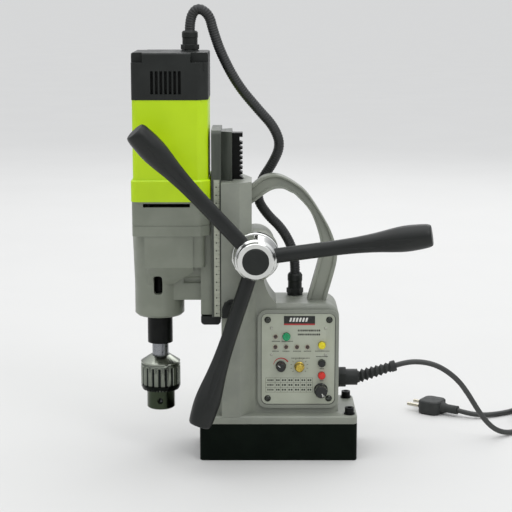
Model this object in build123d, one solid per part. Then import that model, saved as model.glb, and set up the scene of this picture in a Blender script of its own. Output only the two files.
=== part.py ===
from build123d import *
import math
import os

os.makedirs("parts", exist_ok=True)

# Frame: origin at the middle of the magnet's working face, +Z up the column,
# -X towards the drill head, -Y towards the operator. Millimetres.

# Magnet and stand
magnet_length = 200
magnet_width = 100
magnet_height = 48
foot_top = 58
column_left = -71.9
column_top = 356
housing_right = 77
housing_front = -30
housing_back = 45
housing_top = 200
panel_middle = (25, 128.5)
panel_size = (94, 119)
panel_front = -32
panel_back = -29.5

# Slide, rack and pinion
slide_left = -84
slide_right = -72
slide_half_depth = 40
slide_bottom = 185
slide_top = 420
dovetail_reach = 13.4
dovetail_neck = 20
dovetail_wide = 28
gib_width = 4
rack_module = 2
rack_half_depth = 9
pitch_line = -47
pinion_teeth = 18
pinion_pitch_radius = rack_module * pinion_teeth / 2
capstan_x = pitch_line + pinion_pitch_radius
capstan_z = 266
bore_clearance = 0.05

# Levers
lever_length = 217.5
lever_lean = 9.5
lever_angles = (9.4, 131.9, 251.1)
lever_root_y = -70.5

# Drill head
motor_left = -182
motor_right = -86
motor_half_depth = 52
corner_cut = 11
motor_x = -133.5
spindle_x = -152
flange_bottom = 290
shell_bottom = 333
flare_top = 360
shell_top = 458
cap_top = 515
pocket_floor = 503
nose_radius = 31.5
nose_bottom = 181
nose_top = 225
pad_bottom = 250
reduction_teeth = (12, 34)
first_module = 1
second_module = 1.25

# Chuck
chuck_bottom = 57
jaw_radius = 4
jaw_tilt = 12
grip_radius = 5
closed_radius = 1.5
tip_offset = 4.5

# Cords
conduit_diameter = 13
mains_diameter = 7
mains_length = 2500
coil_middle = (386, 122)
coil_turn_radius = 38.5
coil_half_width = 10.5


def block(xs, ys, zs):
    """A box from three (low, high) pairs."""
    spans = (xs, ys, zs)
    middle = [(low + high) / 2 for low, high in spans]
    return Pos(*middle) * Box(*[high - low for low, high in spans])


def post(x, y, zs, radius):
    """An upright cylinder."""
    return Pos(x, y, sum(zs) / 2) * Cylinder(radius, zs[1] - zs[0])


def bar_y(x, z, ys, radius):
    """A cylinder lying front to back."""
    return Pos(x, sum(ys) / 2, z) * Rot(90, 0, 0) * Cylinder(radius, ys[1] - ys[0])


def bar_x(y, z, xs, radius):
    """A cylinder lying left to right."""
    return Pos(sum(xs) / 2, y, z) * Rot(0, 90, 0) * Cylinder(radius, xs[1] - xs[0])


def turned(profile, place):
    """A solid of revolution from (radius, height) points about its own Z, then placed."""
    outline = Polyline(*[(r, 0, z) for r, z in profile], close=True)
    return place * revolve(make_face(outline), Axis.Z)


def plan_prism(face, zs):
    """A plan-view face carried up between two heights."""
    return Pos(0, 0, zs[0]) * extrude(face, zs[1] - zs[0])


def front_prism(face, ys):
    """A front-view face (X across, Z up) carried from one depth to another."""
    return extrude(Plane.XZ.offset(-ys[0]) * face, -(ys[1] - ys[0]))


def rounded_plan(xs, ys, radius):
    return Pos(sum(xs) / 2, sum(ys) / 2) * RectangleRounded(xs[1] - xs[0], ys[1] - ys[0], radius)


def polygon(points):
    return make_face(Polyline(*points, close=True))


def hexagon_nut(across_flats, height):
    return extrude(RegularPolygon(across_flats / 2, 6, major_radius=False), height)


def socket_screw(head_radius, head_height, shank_radius, shank_length):
    """A cap screw standing on Z = 0, head up, with its hexagon socket."""
    head = Pos(0, 0, head_height / 2) * Cylinder(head_radius, head_height)
    shank = Pos(0, 0, -shank_length / 2) * Cylinder(shank_radius, shank_length)
    key = Pos(0, 0, head_height * 0.45) * hexagon_nut(head_radius, head_height)
    return head + shank - key


def involute_gear(module, teeth, face_width, phase_degrees):
    """A spur gear about Z from Z = 0 up, with a tooth centred at the phase angle."""
    pitch = module * teeth / 2
    base = pitch * math.cos(math.radians(20))
    tip = pitch + 0.8 * module
    root = pitch - 1.05 * module
    backlash = 0.1
    half_pitch_angle = math.pi / (2 * teeth) - backlash / (2 * pitch)
    involute_at_pitch = math.tan(math.radians(20)) - math.radians(20)

    def flank(radius):
        spread = math.acos(min(1, base / max(radius, base)))
        return half_pitch_angle + involute_at_pitch - (math.tan(spread) - spread)

    steps = 4
    start = max(base, root)
    radii = [start + (tip - start) * i / steps for i in range(steps + 1)]
    if root < base:
        radii = [root] + radii
    points = []
    for tooth in range(teeth):
        centre = math.radians(phase_degrees) + 2 * math.pi * tooth / teeth
        rising = [(r, centre - flank(r)) for r in radii]
        falling = [(r, centre + flank(r)) for r in reversed(radii)]
        points += [(r * math.cos(a), r * math.sin(a)) for r, a in rising + falling]
    return extrude(polygon(points), face_width)


def rounded_path(points, share=0.45):
    """Straight runs joined by tangent arcs, each as large as its two runs allow."""
    corners = [Vector(*p) for p in points]
    radii = []
    for before, here, after in zip(corners, corners[1:], corners[2:]):
        turn = math.radians((here - before).get_angle(after - here))
        shorter = min((here - before).length, (after - here).length)
        radii.append(share * shorter / math.tan(turn / 2))
    return FilletPolyline(*points, radius=radii), radii


def tube_along(points, diameter, label):
    """A round cord along a route; its bend radii are printed, with a check on its volume."""
    path, radii = rounded_path(points)
    section = Plane(origin=path @ 0, z_dir=path % 0) * Circle(diameter / 2)
    tube = sweep(section, path=path)
    ideal = math.pi * diameter ** 2 / 4 * path.length
    print(label, "length", round(path.length, 1), "volume ratio", round(tube.volume / ideal, 4))
    print("  radii", [round(r, 1) for r in radii])
    return tube, path.length


def save(name, *solids):
    """Writes one node, made of one or more separate solids."""
    pieces = [s for shape in solids for s in shape.solids()]
    export_step(Compound(children=pieces) if len(pieces) > 1 else pieces[0], f"parts/{name}.step")


# ---------------------------------------------------------------- magnet

base_bolt_spots = [(x, y) for x in (-91, 90.5) for y in (-38, 38)]


def make_magnet():
    body = plan_prism(rounded_plan((-100, 100), (-50, 50), 5), (0, magnet_height))
    channel = plan_prism(rounded_plan((-84, 84), (-38, 38), 10), (0, 36))
    channel -= plan_prism(rounded_plan((-62, 62), (-16, 16), 6), (0, 36))
    body -= channel
    for x, y in base_bolt_spots:
        body -= post(x, y, (30, magnet_height), 3.4)
    coil = plan_prism(rounded_plan((-83.8, 83.8), (-37.8, 37.8), 10), (0.4, 35.6))
    coil -= plan_prism(rounded_plan((-62.2, 62.2), (-16.2, 16.2), 6), (0.4, 35.6))
    save("magnet_body", body)
    save("magnet_coil", coil)


def make_base_bolts():
    pieces = []
    for x, y in base_bolt_spots:
        washer = post(x, y, (foot_top, foot_top + 1.6), 7) - post(x, y, (foot_top, foot_top + 1.6), 3.5)
        bolt = Pos(x, y, foot_top + 1.6) * socket_screw(5.8, 7, 3.35, 26)
        pieces += [washer, bolt]
    save("base_bolts", *pieces)


# ---------------------------------------------------------------- stand casting

panel_screw_spots = [(-13.8, 179.6), (64.2, 179.6), (-13.8, 76.8), (64.2, 76.8)]
panel_rivet_spots = [(-9, 168.8), (59.8, 168.8), (-9, 134.2), (59.8, 134.2)]
indicator_spots = [(-3.8, 157.8), (-4, 144.3), (9.6, 144.3), (23.3, 144.3), (36.8, 144.3)]
button_spots = {
    "green_button": (9.9, 158.1, 4.8),
    "yellow_button": (55, 146.9, 4.6),
    "black_button": (55, 123.3, 4.6),
    "red_button": (55, 107.3, 4.6),
}
knob_spots = {
    "speed_knob": (3.1, 120, 6.6, 13),
    "torque_knob": (26.5, 119, 6.4, 11),
    "selector_knob": (54, 88.5, 8.8, 15),
}
gib_screw_heights = (135, 200, 305, 340)


def dovetail_slot():
    """Plan of the slot: a plain flank at the front, and a flank set back for the gib behind."""
    depth = dovetail_reach + 0.4
    slope = (dovetail_wide - dovetail_neck) / dovetail_reach
    mouth = slide_right - 0.5
    end = slide_right + depth
    front_neck = -dovetail_neck - 0.15
    back_neck = dovetail_neck + 0.6
    return polygon([
        (mouth, front_neck + 0.5 * slope),
        (end, front_neck - depth * slope),
        (end, back_neck + depth * slope),
        (mouth, back_neck - 0.5 * slope),
    ])


def make_column():
    plan = polygon([
        (column_left, -50), (-49, -50), (-34, -36), (-34, 8), (-46, 45), (column_left, 45),
    ])
    column = plan_prism(plan, (foot_top - 1, column_top))
    toe = front_prism(polygon([(-83, 57), (-83, 76), (column_left, 112), (-60, 112), (-60, 57)]), (-39, 39))
    boss = bar_y(capstan_x, capstan_z, (-50, -14), 28.5) + bar_y(capstan_x, capstan_z, (-14, 45), 24.5)
    edge = ThreePointArc((-3, housing_top), (-14, 216), (-19, 246))
    web_outline = Polyline((-19, 246), (-40, 262), (-60, 262), (-60, 57), (-3, 57), (-3, housing_top))
    web = front_prism(make_face([edge, web_outline]), (housing_front, 34))
    facet = plan_prism(polygon([(-50, -50), (-49, -50), (-28, -30), (-28, 0), (-50, 0)]), (foot_top - 1, 240))
    return column + toe + boss + web + facet


def cut_column(body):
    body -= plan_prism(dovetail_slot(), (118, column_top + 1))
    channel_right = pitch_line + rack_module + 0.6
    body -= block((-60, channel_right), (-9.6, 9.6), (118, column_top + 1))
    body -= bar_y(capstan_x, capstan_z, (-9.6, 9.6), pinion_pitch_radius + rack_module + 0.8)
    body -= bar_y(capstan_x, capstan_z, (-51, -9.6), 21)
    body -= bar_y(capstan_x, capstan_z, (9.6, 46), 13)
    for z in gib_screw_heights:
        body -= bar_y(-65, z, (22, 46), 2.5)
    return body


def make_housing():
    corner = 18
    outline = polygon([(-40, 57), (housing_right, 57), (housing_right, housing_top), (-40, housing_top)])
    top_right = outline.vertices().sort_by(lambda v: v.X + v.Y)[-1]
    shell = front_prism(fillet(top_right, corner), (housing_front, housing_back))
    shell = fillet(shell.edges().filter_by(Axis.Z).sort_by(Axis.X)[-2:], 7)
    rim = front_prism(Pos(*panel_middle) * RectangleRounded(103, 128, 12), (housing_front - 3.5, housing_front))
    return shell + rim


def cut_housing(body):
    """The panel's seat, the room behind it with four screw bosses, and the cable holes."""
    seat = Pos(*panel_middle) * RectangleRounded(panel_size[0] + 0.6, panel_size[1] + 0.6, 8.3)
    body -= front_prism(seat, (housing_front - 4, panel_back))
    room = front_prism(Pos(*panel_middle) * RectangleRounded(86, 110, 6), (panel_back - 1, 38))
    for x, z in panel_screw_spots:
        room -= bar_y(x, z, (-40, -4), 5.2)
    body -= room
    for x, z in panel_screw_spots:
        body -= bar_y(x, z, (-31, -12), 1.95)
    body -= bar_x(5, 95, (60, 80), 7)
    body -= post(22, 27, (180, 205), 6)
    return body


def make_stand():
    foot = plan_prism(rounded_plan((-100, 100), (-50, 50), 6), (magnet_height, foot_top))
    top_rim = foot.edges().filter_by(Plane.XY).group_by(Axis.Z)[-1]
    foot = chamfer(top_rim, 1.5)
    body = foot + make_column() + make_housing()
    body = cut_housing(cut_column(body))
    for x, y in base_bolt_spots:
        body -= post(x, y, (magnet_height - 1, foot_top + 1), 3.6)
    save("stand_casting", body)


def make_handle():
    """A cast grip arch with an I section: a raised lip along both edges of each side."""
    outer = Spline((-34, 348), (-18.5, 359.4), (0.1, 360.9), (37.3, 336.3), (69.5, 281.3), (74.3, 254))
    heel = Line((74.3, 254), (60.8, housing_top))
    foot = Line((60.8, housing_top), (36.3, housing_top))
    shin = Line((36.3, housing_top), (50, 251))
    inner = Spline((50, 251), (53.4, 272), (41.2, 311.6), (22.5, 334.2), (3.8, 343.4), (-11, 340.4), (-34, 324))
    end = Line((-34, 324), (-34, 348))
    arch = front_prism(make_face([outer, heel, foot, shin, inner, end]), (-10, 10))
    save("carry_handle", arch)


# ---------------------------------------------------------------- control panel

def make_panel():
    face = Pos(*panel_middle) * RectangleRounded(panel_size[0], panel_size[1], 8)
    panel = front_prism(face, (panel_front, panel_back))
    through = (panel_front - 1, panel_back + 1)
    for x, z in panel_screw_spots:
        panel -= bar_y(x, z, through, 2.2)
    for x, z in panel_rivet_spots:
        panel -= bar_y(x, z, through, 1.05)
    for x, z in indicator_spots:
        panel -= bar_y(x, z, through, 2.6)
    for x, z, radius in button_spots.values():
        panel -= bar_y(x, z, through, radius + 0.35)
    for x, z, radius, reach in knob_spots.values():
        panel -= bar_y(x, z, through, 3.4)
    save("control_panel", panel)

    fasteners = []
    facing = Rot(90, 0, 0)
    for x, z in panel_screw_spots:
        dome = turned([(0, 0), (3.9, 0), (3.6, 1.1), (2.4, 2), (0, 2.4)], Pos(x, panel_front, z) * facing)
        cross = block((x - 1.7, x + 1.7), (panel_front - 3, panel_front - 1.5), (z - 0.4, z + 0.4))
        cross += block((x - 0.4, x + 0.4), (panel_front - 3, panel_front - 1.5), (z - 1.7, z + 1.7))
        fasteners.append(dome + bar_y(x, z, (panel_front, -14), 1.9) - cross)
    for x, z in panel_rivet_spots:
        head = turned([(0, 0), (1.9, 0), (1.5, 0.7), (0, 0.9)], Pos(x, panel_front, z) * facing)
        fasteners.append(head + bar_y(x, z, (panel_front, -28), 1))
    save("panel_screws", *fasteners)

    lenses = []
    for x, z in indicator_spots:
        profile = [(0, -3), (2.5, -3), (2.5, 0), (3.3, 0), (3.3, 0.8), (2.5, 0.9), (2.1, 2), (0, 2.7)]
        lenses.append(turned(profile, Pos(x, panel_front, z) * facing))
    save("indicator_lenses", *lenses)


def make_buttons():
    """Each cap slides in its panel hole and is kept in by a flange behind the panel."""
    for name, (x, z, radius) in button_spots.items():
        profile = [(0, -4.5), (radius + 1, -4.5), (radius + 1, -3.2), (radius, -3.2)]
        profile += [(radius, 4.6), (radius - 0.5, 5.3), (radius - 1.6, 5.6), (0, 5.7)]
        save(name, turned(profile, Pos(x, panel_front, z) * Rot(90, 0, 0)))


def make_knobs():
    """A turned knob on its stem, which runs back into the potentiometer or switch."""
    for name, (x, z, radius, reach) in knob_spots.items():
        profile = [(0, -18), (3, -18), (3, 1.2), (radius, 1.2), (radius, 3.4), (radius - 0.8, 4)]
        profile += [(radius - 1.1, reach - 1), (radius - 2, reach), (0, reach)]
        knob = turned(profile, Pos(x, panel_front, z) * Rot(90, 0, 0))
        notches = 18
        for i in range(notches):
            angle = 2 * math.pi * i / notches
            at_x = x + (radius - 0.4) * math.cos(angle)
            at_z = z + (radius - 0.4) * math.sin(angle)
            knob -= bar_y(at_x, at_z, (panel_front - reach - 1, panel_front - 4.6), 0.6)
        save(name, knob)


def make_electronics():
    plate = block((-13, 63), (6, 7.6), (80, 176))
    posts = [bar_y(x, z, (7.6, 38), 3) for x in (-8, 58) for z in (86, 170)]
    transformer = block((-8, 26), (7.6, 36), (92, 126))
    relay = block((34, 52), (7.6, 24), (96, 124))
    capacitors = [bar_y(x, 148, (7.6, 32), 8) for x in (4, 26, 48)]
    heat_sink = block((8, 44), (-6, 6), (96, 122))
    for i in range(5):
        heat_sink -= block((11 + 7 * i, 14 + 7 * i), (-7, 3), (95, 123))
    save("circuit_board", plate, *posts, transformer, relay, *capacitors, heat_sink)

    switchgear = []
    for x, z, radius in button_spots.values():
        switchgear.append(block((x - 6, x + 6), (-25.2, -12), (z - 6, z + 6)))
    for x, z, radius, reach in knob_spots.values():
        pot = block((x - 7, x + 7), (-26, -11), (z - 7, z + 7))
        switchgear.append(pot - bar_y(x, z, (-27, -12), 3.05))
    save("control_switchgear", *switchgear)


# ---------------------------------------------------------------- slide and feed

def make_gib():
    slope = (dovetail_wide - dovetail_neck) / dovetail_reach
    near = dovetail_neck - gib_width + 0.2
    far = dovetail_neck + 0.55
    end = dovetail_reach + 0.2
    strip = polygon([
        (column_left, near), (slide_right + end, near + end * slope),
        (slide_right + end, far + end * slope), (column_left, far),
    ])
    save("gib_strip", plan_prism(strip, (122, column_top)))
    screws = []
    for z in gib_screw_heights:
        stem = bar_y(-65, z, (26.8, 53), 2.4)
        nut = Pos(-65, 49, z) * Rot(90, 0, 0) * hexagon_nut(8, 4)
        screws.append(stem + nut)
    save("gib_screws", *screws)


rack_screw_heights = (205, 345, 392)
bracket_screw_spots = [(y, z) for y in (-27, 27) for z in (196, 230, 300)]
bracket_screw_seat = -93


def make_slide():
    plate = block((slide_left, slide_right), (-slide_half_depth, slide_half_depth), (slide_bottom, slide_top))
    plate = fillet(plate.edges().filter_by(Axis.X).group_by(Axis.Z)[-1], 6)
    neck_back = dovetail_neck - gib_width
    wide_back = dovetail_wide - gib_width
    root = slide_right - 1
    tip = slide_right + dovetail_reach
    tail = polygon([
        (root, -dovetail_neck), (slide_right, -dovetail_neck), (tip, -dovetail_wide),
        (tip, wide_back), (slide_right, neck_back), (root, neck_back),
    ])
    plate += plan_prism(tail, (slide_bottom, 417))
    for z in rack_screw_heights:
        plate -= bar_x(0, z, (slide_left - 1, slide_left + 6), 5.2)
        plate -= bar_x(0, z, (slide_left, tip + 1), 3.05)
    for y, z in bracket_screw_spots:
        plate -= bar_x(y, z, (slide_left - 1, slide_left + 7), 2.65)
    save("slide_plate", plate)

    fasteners = []
    for z in rack_screw_heights:
        screw = socket_screw(5, 5, 3, 24)
        fasteners.append(Pos(slide_left + 6, 0, z) * Rot(0, -90, 0) * screw)
    for y, z in bracket_screw_spots:
        fasteners.append(Pos(bracket_screw_seat, y, z) * Rot(0, -90, 0) * socket_screw(4.5, 4.8, 2.6, 15))
    save("slide_screws", *fasteners)

    scale = block((-81.4, -73.1), (-slide_half_depth - 1, -slide_half_depth), (186, 359))
    save("scale_strip", scale)

    guard = block((-98, slide_right - 1), (-36, 36), (174, slide_bottom))
    guard = chamfer(guard.edges().filter_by(Axis.Y).group_by(Axis.Z)[0], 3)
    save("slide_end_block", guard)


def make_rack():
    """Straight-sided 20 degree teeth, with a gap centred on the pinion's height."""
    bottom = 187
    top = 414
    back = slide_right + dovetail_reach
    pitch = math.pi * rack_module
    tip_x = pitch_line + rack_module * 0.8
    root_x = pitch_line - rack_module * 1.1
    lean = math.tan(math.radians(20))
    backlash = 0.12
    outline = [(back, bottom), (root_x, bottom)]
    first = math.ceil((bottom + 5 - capstan_z) / pitch) + 0.5
    height = capstan_z + first * pitch
    while height < top - 7:
        half = pitch / 4 - backlash / 2
        foot = half + (pitch_line - root_x) * lean
        crest = half - (tip_x - pitch_line) * lean
        outline += [(root_x, height - foot), (tip_x, height - crest)]
        outline += [(tip_x, height + crest), (root_x, height + foot)]
        height += pitch
    outline += [(root_x, top - 5), (tip_x, top - 5), (tip_x, top), (back, top)]
    rack = front_prism(polygon(outline), (-rack_half_depth, rack_half_depth))
    for z in rack_screw_heights:
        rack -= bar_x(0, z, (back - 1, back + 7), 3.05)
    save("feed_rack", rack)


def make_bushes():
    front = bar_y(capstan_x, capstan_z, (-50, -10), 20.98) - bar_y(capstan_x, capstan_z, (-51, -9), 11.05)
    rear = bar_y(capstan_x, capstan_z, (10, 45), 12.98) - bar_y(capstan_x, capstan_z, (9, 46), 9.05)
    save("shaft_bushes", front, rear)
    cap = turned([(0, 0), (16, 0), (16, 3), (13, 5), (0, 5)], Pos(capstan_x, 45, capstan_z) * Rot(-90, 0, 0))
    save("shaft_end_cap", cap)


def make_travel_stop():
    outline = [(-71, 187), (-55, 187), (-55, 210), (-61, 210), (-68, 206), (-71, 199)]
    stop = front_prism(polygon(outline), (-56.5, -50))
    stop -= bar_y(-60.8, 206, (-57, -55), 1.9)
    save("travel_stop", stop)


# ---------------------------------------------------------------- capstan

capstan_place = Pos(capstan_x, 0, capstan_z) * Rot(-90, 0, 0)


def lever_place(angle):
    """Turns local Z into a lever's direction, with the local origin on the hub's axis."""
    out = math.radians(angle)
    lean = math.radians(lever_lean)
    direction = (math.cos(lean) * math.cos(out), -math.sin(lean), math.cos(lean) * math.sin(out))
    return Location(Plane(origin=(capstan_x, lever_root_y, capstan_z), z_dir=direction))


def make_capstan():
    gear = involute_gear(rack_module, pinion_teeth, 2 * rack_half_depth - 0.4, 180)
    gear = Pos(capstan_x, rack_half_depth - 0.2, capstan_z) * Rot(90, 0, 0) * gear
    shaft = turned([(0, -90), (11, -90), (11, 9), (9, 9), (9, 44), (0, 44)], capstan_place)
    save("pinion_shaft", gear + shaft)

    profile = [(11, -50.8), (29.8, -50.8), (29.8, -59.4), (28.8, -60.6), (27.2, -61), (27.2, -62)]
    profile += [(28, -62.8), (25.6, -84), (24.6, -85), (24.6, -86.5), (23.4, -88), (22.5, -94), (21.5, -95)]
    profile += [(16.5, -95), (16.5, -91), (11, -91)]
    hub = turned(profile, capstan_place)
    sockets = [lever_place(a) * Pos(0, 0, 30) * Cylinder(9.5, 18) for a in lever_angles]
    bores = [lever_place(a) * Pos(0, 0, 22) * Cylinder(6, 20) for a in lever_angles]
    for cut in sockets + bores:
        hub -= cut
    save("capstan_hub", hub)
    save("hub_cap", turned([(0, -91), (16.3, -91), (16.3, -95.6), (15, -96.6), (0, -97)], capstan_place))

    rods = []
    grips = []
    for angle in lever_angles:
        place = lever_place(angle)
        rods.append(place * Pos(0, 0, 103) * Cylinder(5.95, 180))
        side = Spline((9.4, 21.5), (9.4, 105), (11.9, 150), (15.6, 180), (15.4, 199), (14.2, 214))
        closing = Polyline((14.2, 214), (12.2, lever_length), (0, lever_length), (0, 195), (6, 195), (6, 21.5), (9.4, 21.5))
        face = Plane.XZ * make_face([side, closing])
        grips.append(place * revolve(face, Axis.Z))
    save("lever_rods", *rods)
    save("lever_grips", *grips)


# ---------------------------------------------------------------- gearbox and motor

def motor_section(inset, radius):
    """Plan of the motor: round corners on the free side, cut corners beside the slide."""
    left = motor_left + inset
    right = motor_right - inset
    side = motor_half_depth - inset
    outline = polygon([
        (left, -side), (right - corner_cut, -side), (right, -side + corner_cut),
        (right, side - corner_cut), (right - corner_cut, side), (left, side),
    ])
    return fillet(outline.vertices(), radius)


pinion_count, wheel_count = reduction_teeth
first_distance = first_module * (pinion_count + wheel_count) / 2
second_distance = second_module * (pinion_count + wheel_count) / 2
axis_gap = motor_x - spindle_x
along = (first_distance ** 2 - second_distance ** 2 + axis_gap ** 2) / (2 * axis_gap)
layshaft_x = motor_x - along
layshaft_y = math.sqrt(first_distance ** 2 - along ** 2)
drift_slot_heights = (213, 236)


def make_gearbox():
    flange = plan_prism(motor_section(0, 6), (flange_bottom, shell_bottom))
    flange -= plan_prism(motor_section(-2, 8) - motor_section(0.6, 5.4), (302.7, 303.5))
    body = plan_prism(rounded_plan((-167, -92), (-47, 47), 7), (pad_bottom, flange_bottom + 1))
    pad = block((-167, -107), (-50, 50), (pad_bottom, flange_bottom + 1))
    nose = turned([(0, nose_bottom), (28.5, nose_bottom), (nose_radius, nose_bottom + 3),
                   (nose_radius, nose_top), (33.6, 291), (0, 291)], Pos(spindle_x, 0, 0))
    slant = polygon([(-165, nose_top), (-133, nose_top), (-92, 254), (-92, 291), (-165, 291)])
    core = front_prism(slant, (-30, 30))
    undercut = polygon([(-50, pad_bottom + 2), (-30, nose_top), (30, nose_top), (50, pad_bottom + 2)])
    undercut = Pos(-165, 0, 0) * extrude(Plane.YZ * undercut, 58) & front_prism(slant, (-50, 50))
    arm = block((-140, -96), (-25, 25), (204, 252))
    bracket = block((-98, slide_left), (-34, 34), (187, 328))
    shell = flange + body + pad + nose + core + undercut + arm + bracket
    shell -= plan_prism(rounded_plan((-163, -98), (-43, 43), 6), (258, 317))
    shell -= post(spindle_x, 0, (258, 317), 26)
    shell -= plan_prism(motor_section(4.5, 4), (316, shell_bottom + 1))
    shell -= post(spindle_x, 0, (nose_bottom - 1, 259), 15)
    shell -= post(spindle_x, 0, (187, 250), 20)
    shell -= post(layshaft_x, layshaft_y, (252, 259), 8)
    slot = Pos(spindle_x, sum(drift_slot_heights) / 2) * RectangleRounded(11, 25, 4)
    shell -= front_prism(slot, (-40, 40))
    vent = front_prism(Pos(-139, 328.5) * RectangleRounded(58, 4.6, 1), (-60, -40))
    shell -= vent
    for y, z in bracket_screw_spots:
        shell -= bar_x(y, z, (-99, slide_left + 1), 2.65) + bar_x(y, z, (-120, bracket_screw_seat), 5)
    save("gearbox_housing", shell)

    plate = plan_prism(motor_section(4.7, 4), (317, 324))
    plate -= post(motor_x, 0, (316, 325), 10)
    plate -= post(layshaft_x, layshaft_y, (316, 325), 8)
    for i in range(6):
        angle = math.radians(60 * i + 30)
        plate -= post(motor_x + 32 * math.cos(angle) - 2, 32 * math.sin(angle) - 8, (316, 325), 5)
    save("bearing_plate", plate)


def make_motor():
    shell = plan_prism(motor_section(1.5, 7), (shell_bottom, shell_top))
    flare = plan_prism(motor_section(-1, 8), (shell_bottom, flare_top))
    flare = chamfer(flare.edges().group_by(Axis.Z)[-1], 1.8)
    shell += flare
    shell -= plan_prism(motor_section(5, 5), (shell_bottom - 1, 452))
    shell -= post(motor_x, 0, (450, shell_top + 1), 13)
    for i in range(8):
        angle = math.radians(45 * i)
        shell -= post(motor_x + 28 * math.cos(angle), 28 * math.sin(angle), (450, shell_top + 1), 6)
    save("motor_housing", shell)

    cap = plan_prism(motor_section(1, 7), (shell_top, cap_top))
    cap = fillet(cap.edges().group_by(Axis.Z)[-1], 2.5)
    cap -= plan_prism(motor_section(6, 5), (shell_top - 1, cap_top - 5))
    corners = [((-177, -167), (-190, -167), -172), ((-108, -91), (-108, -80), -101)]
    screw_spots = []
    for side in (-1, 1):
        for solid_xs, pocket_xs, screw_x in corners:
            cap += block(solid_xs, tuple(sorted((side * 37, side * 46))), (493, 512))
            cap -= block(pocket_xs, tuple(sorted((side * 39, side * 60))), (pocket_floor, cap_top + 1))
            screw_spots.append((screw_x, side * 43.5))
        cap += block((-165, -113), tuple(sorted((side * 36, side * 38))), (460, cap_top - 3))
        for i in range(7):
            middle = -138.5 + 5.6 * (i - 3)
            ys = tuple(sorted((side * 44, side * 56)))
            cap -= block((middle - 1.7, middle + 1.7), ys, (465, 493))
    for x, y in screw_spots:
        cap -= post(x, y, (490, pocket_floor + 1), 2.05) + post(x, y, (pocket_floor - 4, pocket_floor + 1), 3.9)
    cap -= post(-111, 8, (505, cap_top + 1), 6)
    save("motor_cap", cap)
    screws = [Pos(x, y, pocket_floor - 4) * socket_screw(3.6, 3, 2, 8) for x, y in screw_spots]
    save("cap_screws", *screws)


def make_motor_inside():
    core = Pos(motor_x, 0) * RectangleRounded(84, 90, 20)
    stator = plan_prism(core, (366, 424)) - post(motor_x, 0, (365, 425), 24.5)
    windings = []
    for side in (-1, 1):
        for zs in ((354, 366), (424, 431)):
            ring = post(motor_x, 0, zs, 38) - post(motor_x, 0, zs, 27)
            ys = tuple(sorted((side * 8, side * 40)))
            windings.append(ring & block((motor_x - 40, motor_x + 40), ys, zs))
    save("motor_stator", stator, *windings)

    profile = [(0, 290), (4.6, 290), (4.6, 310), (6, 310), (6, 338), (8, 338), (8, 366), (23.5, 366), (23.5, 424), (9, 424)]
    profile += [(9, 430), (13, 430), (13, 446), (5, 446), (5, 466), (0, 466)]
    armature = turned(profile, Pos(motor_x, 0, 0))
    to_layshaft = math.degrees(math.atan2(layshaft_y, layshaft_x - motor_x))
    pinion = Pos(motor_x, 0, 293) * involute_gear(first_module, pinion_count, 15, to_layshaft)
    fan = post(motor_x, 0, (340, 342), 37)
    for i in range(9):
        blade = Rot(0, 0, 40 * i) * Pos(22, 0, 346) * Box(26, 1.6, 8)
        fan += Pos(motor_x, 0, 0) * blade
    save("armature", armature + pinion + fan)

    brushes = []
    for side in (-1, 1):
        carbon = block((motor_x - 3, motor_x + 3), tuple(sorted((side * 13.3, side * 30))), (434, 442))
        holder = block((motor_x - 5, motor_x + 5), tuple(sorted((side * 20, side * 45))), (432, 444))
        holder -= block((motor_x - 3, motor_x + 3), tuple(sorted((side * 10, side * 30))), (434, 442))
        brushes += [carbon, holder]
    save("brush_holders", *brushes)


def bearing(x, y, zs, outer, inner):
    ring = post(x, y, zs, outer - 0.02) - post(x, y, (zs[0] - 1, zs[1] + 1), inner + bore_clearance)
    return chamfer(ring.edges().filter_by(GeomType.CIRCLE).group_by(SortBy.RADIUS)[-1], 0.5)


def make_bearings():
    rings = [
        bearing(spindle_x, 0, (187, 201), 20, 12.45),
        bearing(spindle_x, 0, (239, 250), 20, 12.45),
        bearing(layshaft_x, layshaft_y, (252, 258), 8, 4),
        bearing(layshaft_x, layshaft_y, (317, 324), 8, 4),
        bearing(motor_x, 0, (317, 324), 10, 6),
        bearing(motor_x, 0, (452, 458), 13, 5),
    ]
    save("head_bearings", *rings)


def make_layshaft():
    """The small pinion drives the spindle wheel, and the big wheel takes the motor's pinion."""
    place = Pos(layshaft_x, layshaft_y, 0)
    to_motor = math.degrees(math.atan2(-layshaft_y, motor_x - layshaft_x))
    to_spindle = math.degrees(math.atan2(-layshaft_y, spindle_x - layshaft_x))
    profile = [(0, 252.3), (4, 252.3), (4, 259), (5.5, 259), (5.5, 310), (4, 310), (4, 323.5), (0, 323.5)]
    shaft = turned(profile, place)
    half_tooth = 180 / wheel_count
    wheel = Pos(layshaft_x, layshaft_y, 294) * involute_gear(first_module, wheel_count, 12, to_motor + half_tooth)
    pinion = Pos(layshaft_x, layshaft_y, 262) * involute_gear(second_module, pinion_count, 15, to_spindle)
    save("layshaft", shaft + wheel + pinion)
    return to_spindle


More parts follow.
